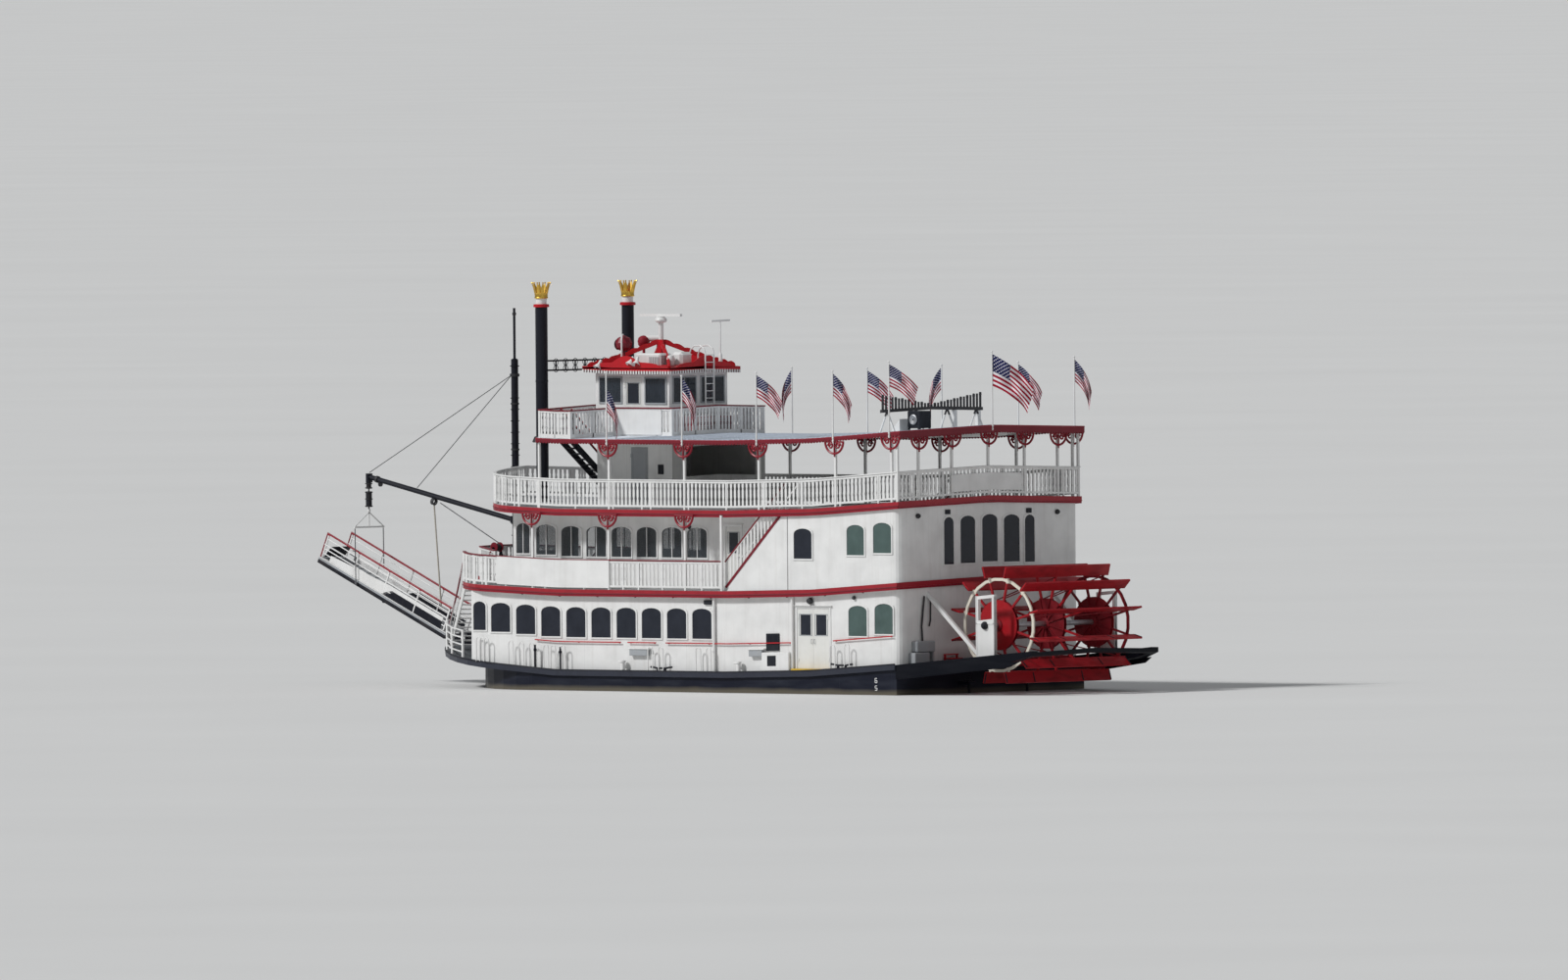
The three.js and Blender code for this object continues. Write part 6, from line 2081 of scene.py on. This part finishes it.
@dataclass
class RoofGear:
    """The steam organ's whistles, the fan box, the lockers and the ribs on the roof."""

    x: float = 7.35
    half: float = 2.52
    base: float = ROOF + 0.76

    def organ(self) -> None:
        """The organ's whistles, the thin pipes between them and its two posts."""
        x, base = self.x, self.base
        whistle = [(0, -0.08), (0.05, -0.08), (0.05, -0.04), (0.047, -0.03), (0.047, 0), (0.04, 0.02),
                   (0, 0.03)]
        shares = [2 * k / 15 - 1 for k in range(16)]
        pipes = [spun(whistle, up(x, self.half * share, base + 0.13 + 0.42 * abs(share)), steps=10)
                 for share in shares]
        placed(pipes, "organ_whistles", IRON)
        thin = []
        for share in ((2 * k + 1) / 15 - 1 for k in range(15)):
            y = self.half * share
            thin.append(rod([up(x, y, base), up(x, y, base + 0.13 + 0.42 * abs(share))], 0.04, 6))
        placed(thin, "organ_pipes", IRON)
        posts = [block((x - 0.07, y - 0.08, up(x, y, ROOF)[2] - 0.02),
                       (x + 0.07, y + 0.08, up(x, y, base)[2] - 0.06), 0.01) for y in (1.17, 2.4)]
        placed(posts, "organ_posts", WHITE, smooth=0)

    def fan(self) -> None:
        """The fan box on its four legs."""
        x, y, z = up(7.95, -1.3, ROOF)
        parts = [block((x - 0.3, y - 0.3, z + 0.08), (x + 0.3, y + 0.3, z + 0.68), 0.03)]
        parts += [block((x + dx - 0.03, y + dy - 0.03, z - 0.02), (x + dx + 0.03, y + dy + 0.03, z + 0.17))
                  for dx in (-0.25, 0.25) for dy in (-0.25, 0.25)]
        placed(parts, "fan_box", GASKET)
        fan = spun([(0.03, 0), (0.17, 0), (0.18, 0.03), (0.15, 0.05), (0.03, 0.02)],
                   (x, y - 0.302, z + 0.38), (0, -1, 0), 20)
        placed(fan, "fan_box_fan", STEEL)

    def build(self) -> None:
        """Builds all of it."""
        self.organ()
        foot = up(-6.6, -4.5, ROOF)[2]
        box = block((-6.96, -4.62, foot + 0.002), (-6.22, -4.4, foot + 0.22), 0.02)
        placed(box, "roof_corner_box", GASKET)
        self.fan()
        x, y, foot = up(7.3, -1.6, ROOF)
        wedge = slab([up(6.85, y, ROOF), (x, y, foot), (x, y, foot + 0.45)], (0, 0.5, 0))
        placed(wedge, "roof_wedge", WHITE, smooth=0)
        louvres = []
        for y in (-0.9, 0.1):
            first = up(-2.85, y + 0.4, ROOF)[2] + 0.12
            louvres += [block((-2.849, y + 0.08, z), (-2.838, y + 0.72, z + 0.03))
                        for z in (first + 0.075 * k for k in range(6))]
        placed(louvres, "roof_unit_louvres", GREY, smooth=0)
        ribs = [ribbon([up(-3.2 + 0.24 * k, y * 0.47, ROOF + 0.001) for y in range(-10, 11)], 0.05, 0.018)
                for k in range(56)]
        placed(ribs, "roof_ribs", ROOF_SHEET, smooth=0)


# The finishes of the CAD nodes that stay


@dataclass
class Frame:
    """Gives each CAD node that stays its finish."""

    finishes: dict[str, Finish] = field(default_factory=lambda: {
        "hull": NAVY_HULL, "main_deck": MAIN_DECK_PAINT, "deck_2": DECK_PAINT, "deck_3": DECK_PAINT,
        "roof": ROOF_PAINT, "cabin_side": WALL_WHITE, "cabin_front": WALL_WHITE, "cabin_aft": WALL_WHITE,
        "saloon": WALL_WHITE, "after_cabin": WALL_WHITE, "deckhouse": WALL_WHITE,
        "pilothouse": WHITE, "pilothouse_roof": RED, "cabin_door": DOOR_WHITE,
        "saloon_door": DOOR_WHITE, "deckhouse_door": GREY, "pilothouse_door": DOOR_WHITE,
        "roof_edge": DARK_RED, "roof_stair": BLACK, "stack": BLACK, "stack_brace": BLACK, "mast": BLACK,
        "boom": BLACK, "boom_stays": IRON, "calliope": ORGAN_PAINT, "fantail": FANTAIL_PAINTED_SHADE, "rudder": BLACK,
        "stage": STAGE_PAINT, "stage_swivel": BLACK, "stage_hoist": HOIST_PAINT, "searchlight": DARK_RED,
        "wheel_shaft": STEEL, "wheel_buckets": WHEEL_BOARD, "wheel_spider_port": WHEEL_RINGED,
        "wheel_spider_starboard": WHEEL_SHADED_RED,
    })

    def build(self) -> None:
        """Dresses each node with the finish of the longest name that it starts with."""
        for name, node in frame["nodes"].items():
            fits = [key for key in self.finishes if name.startswith(key)]
            finish = self.finishes[max(fits, key=len)] if fits else WHITE
            node.data.materials.clear()
            node.data.materials.append(finish.material())
            LOG.info("%s wears %s", name, finish.name)


def main() -> None:
    """Builds the sub-assemblies in order."""
    logging.basicConfig(level=logging.INFO, format="%(message)s")
    bpy.context.scene.view_settings.view_transform = "Standard"
    for assembly in (Studio(), Frame(), Rails(), Windows(), Doors(), Trim(), Flags(), Stacks(), Pilothouse(),
                     DeckGear(), SternGear(), Wheel(), BowGear(), RoofGear()):
        LOG.info("building %s", type(assembly).__name__)
        assembly.build()
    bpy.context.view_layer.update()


if __name__ == "__main__":
    main()
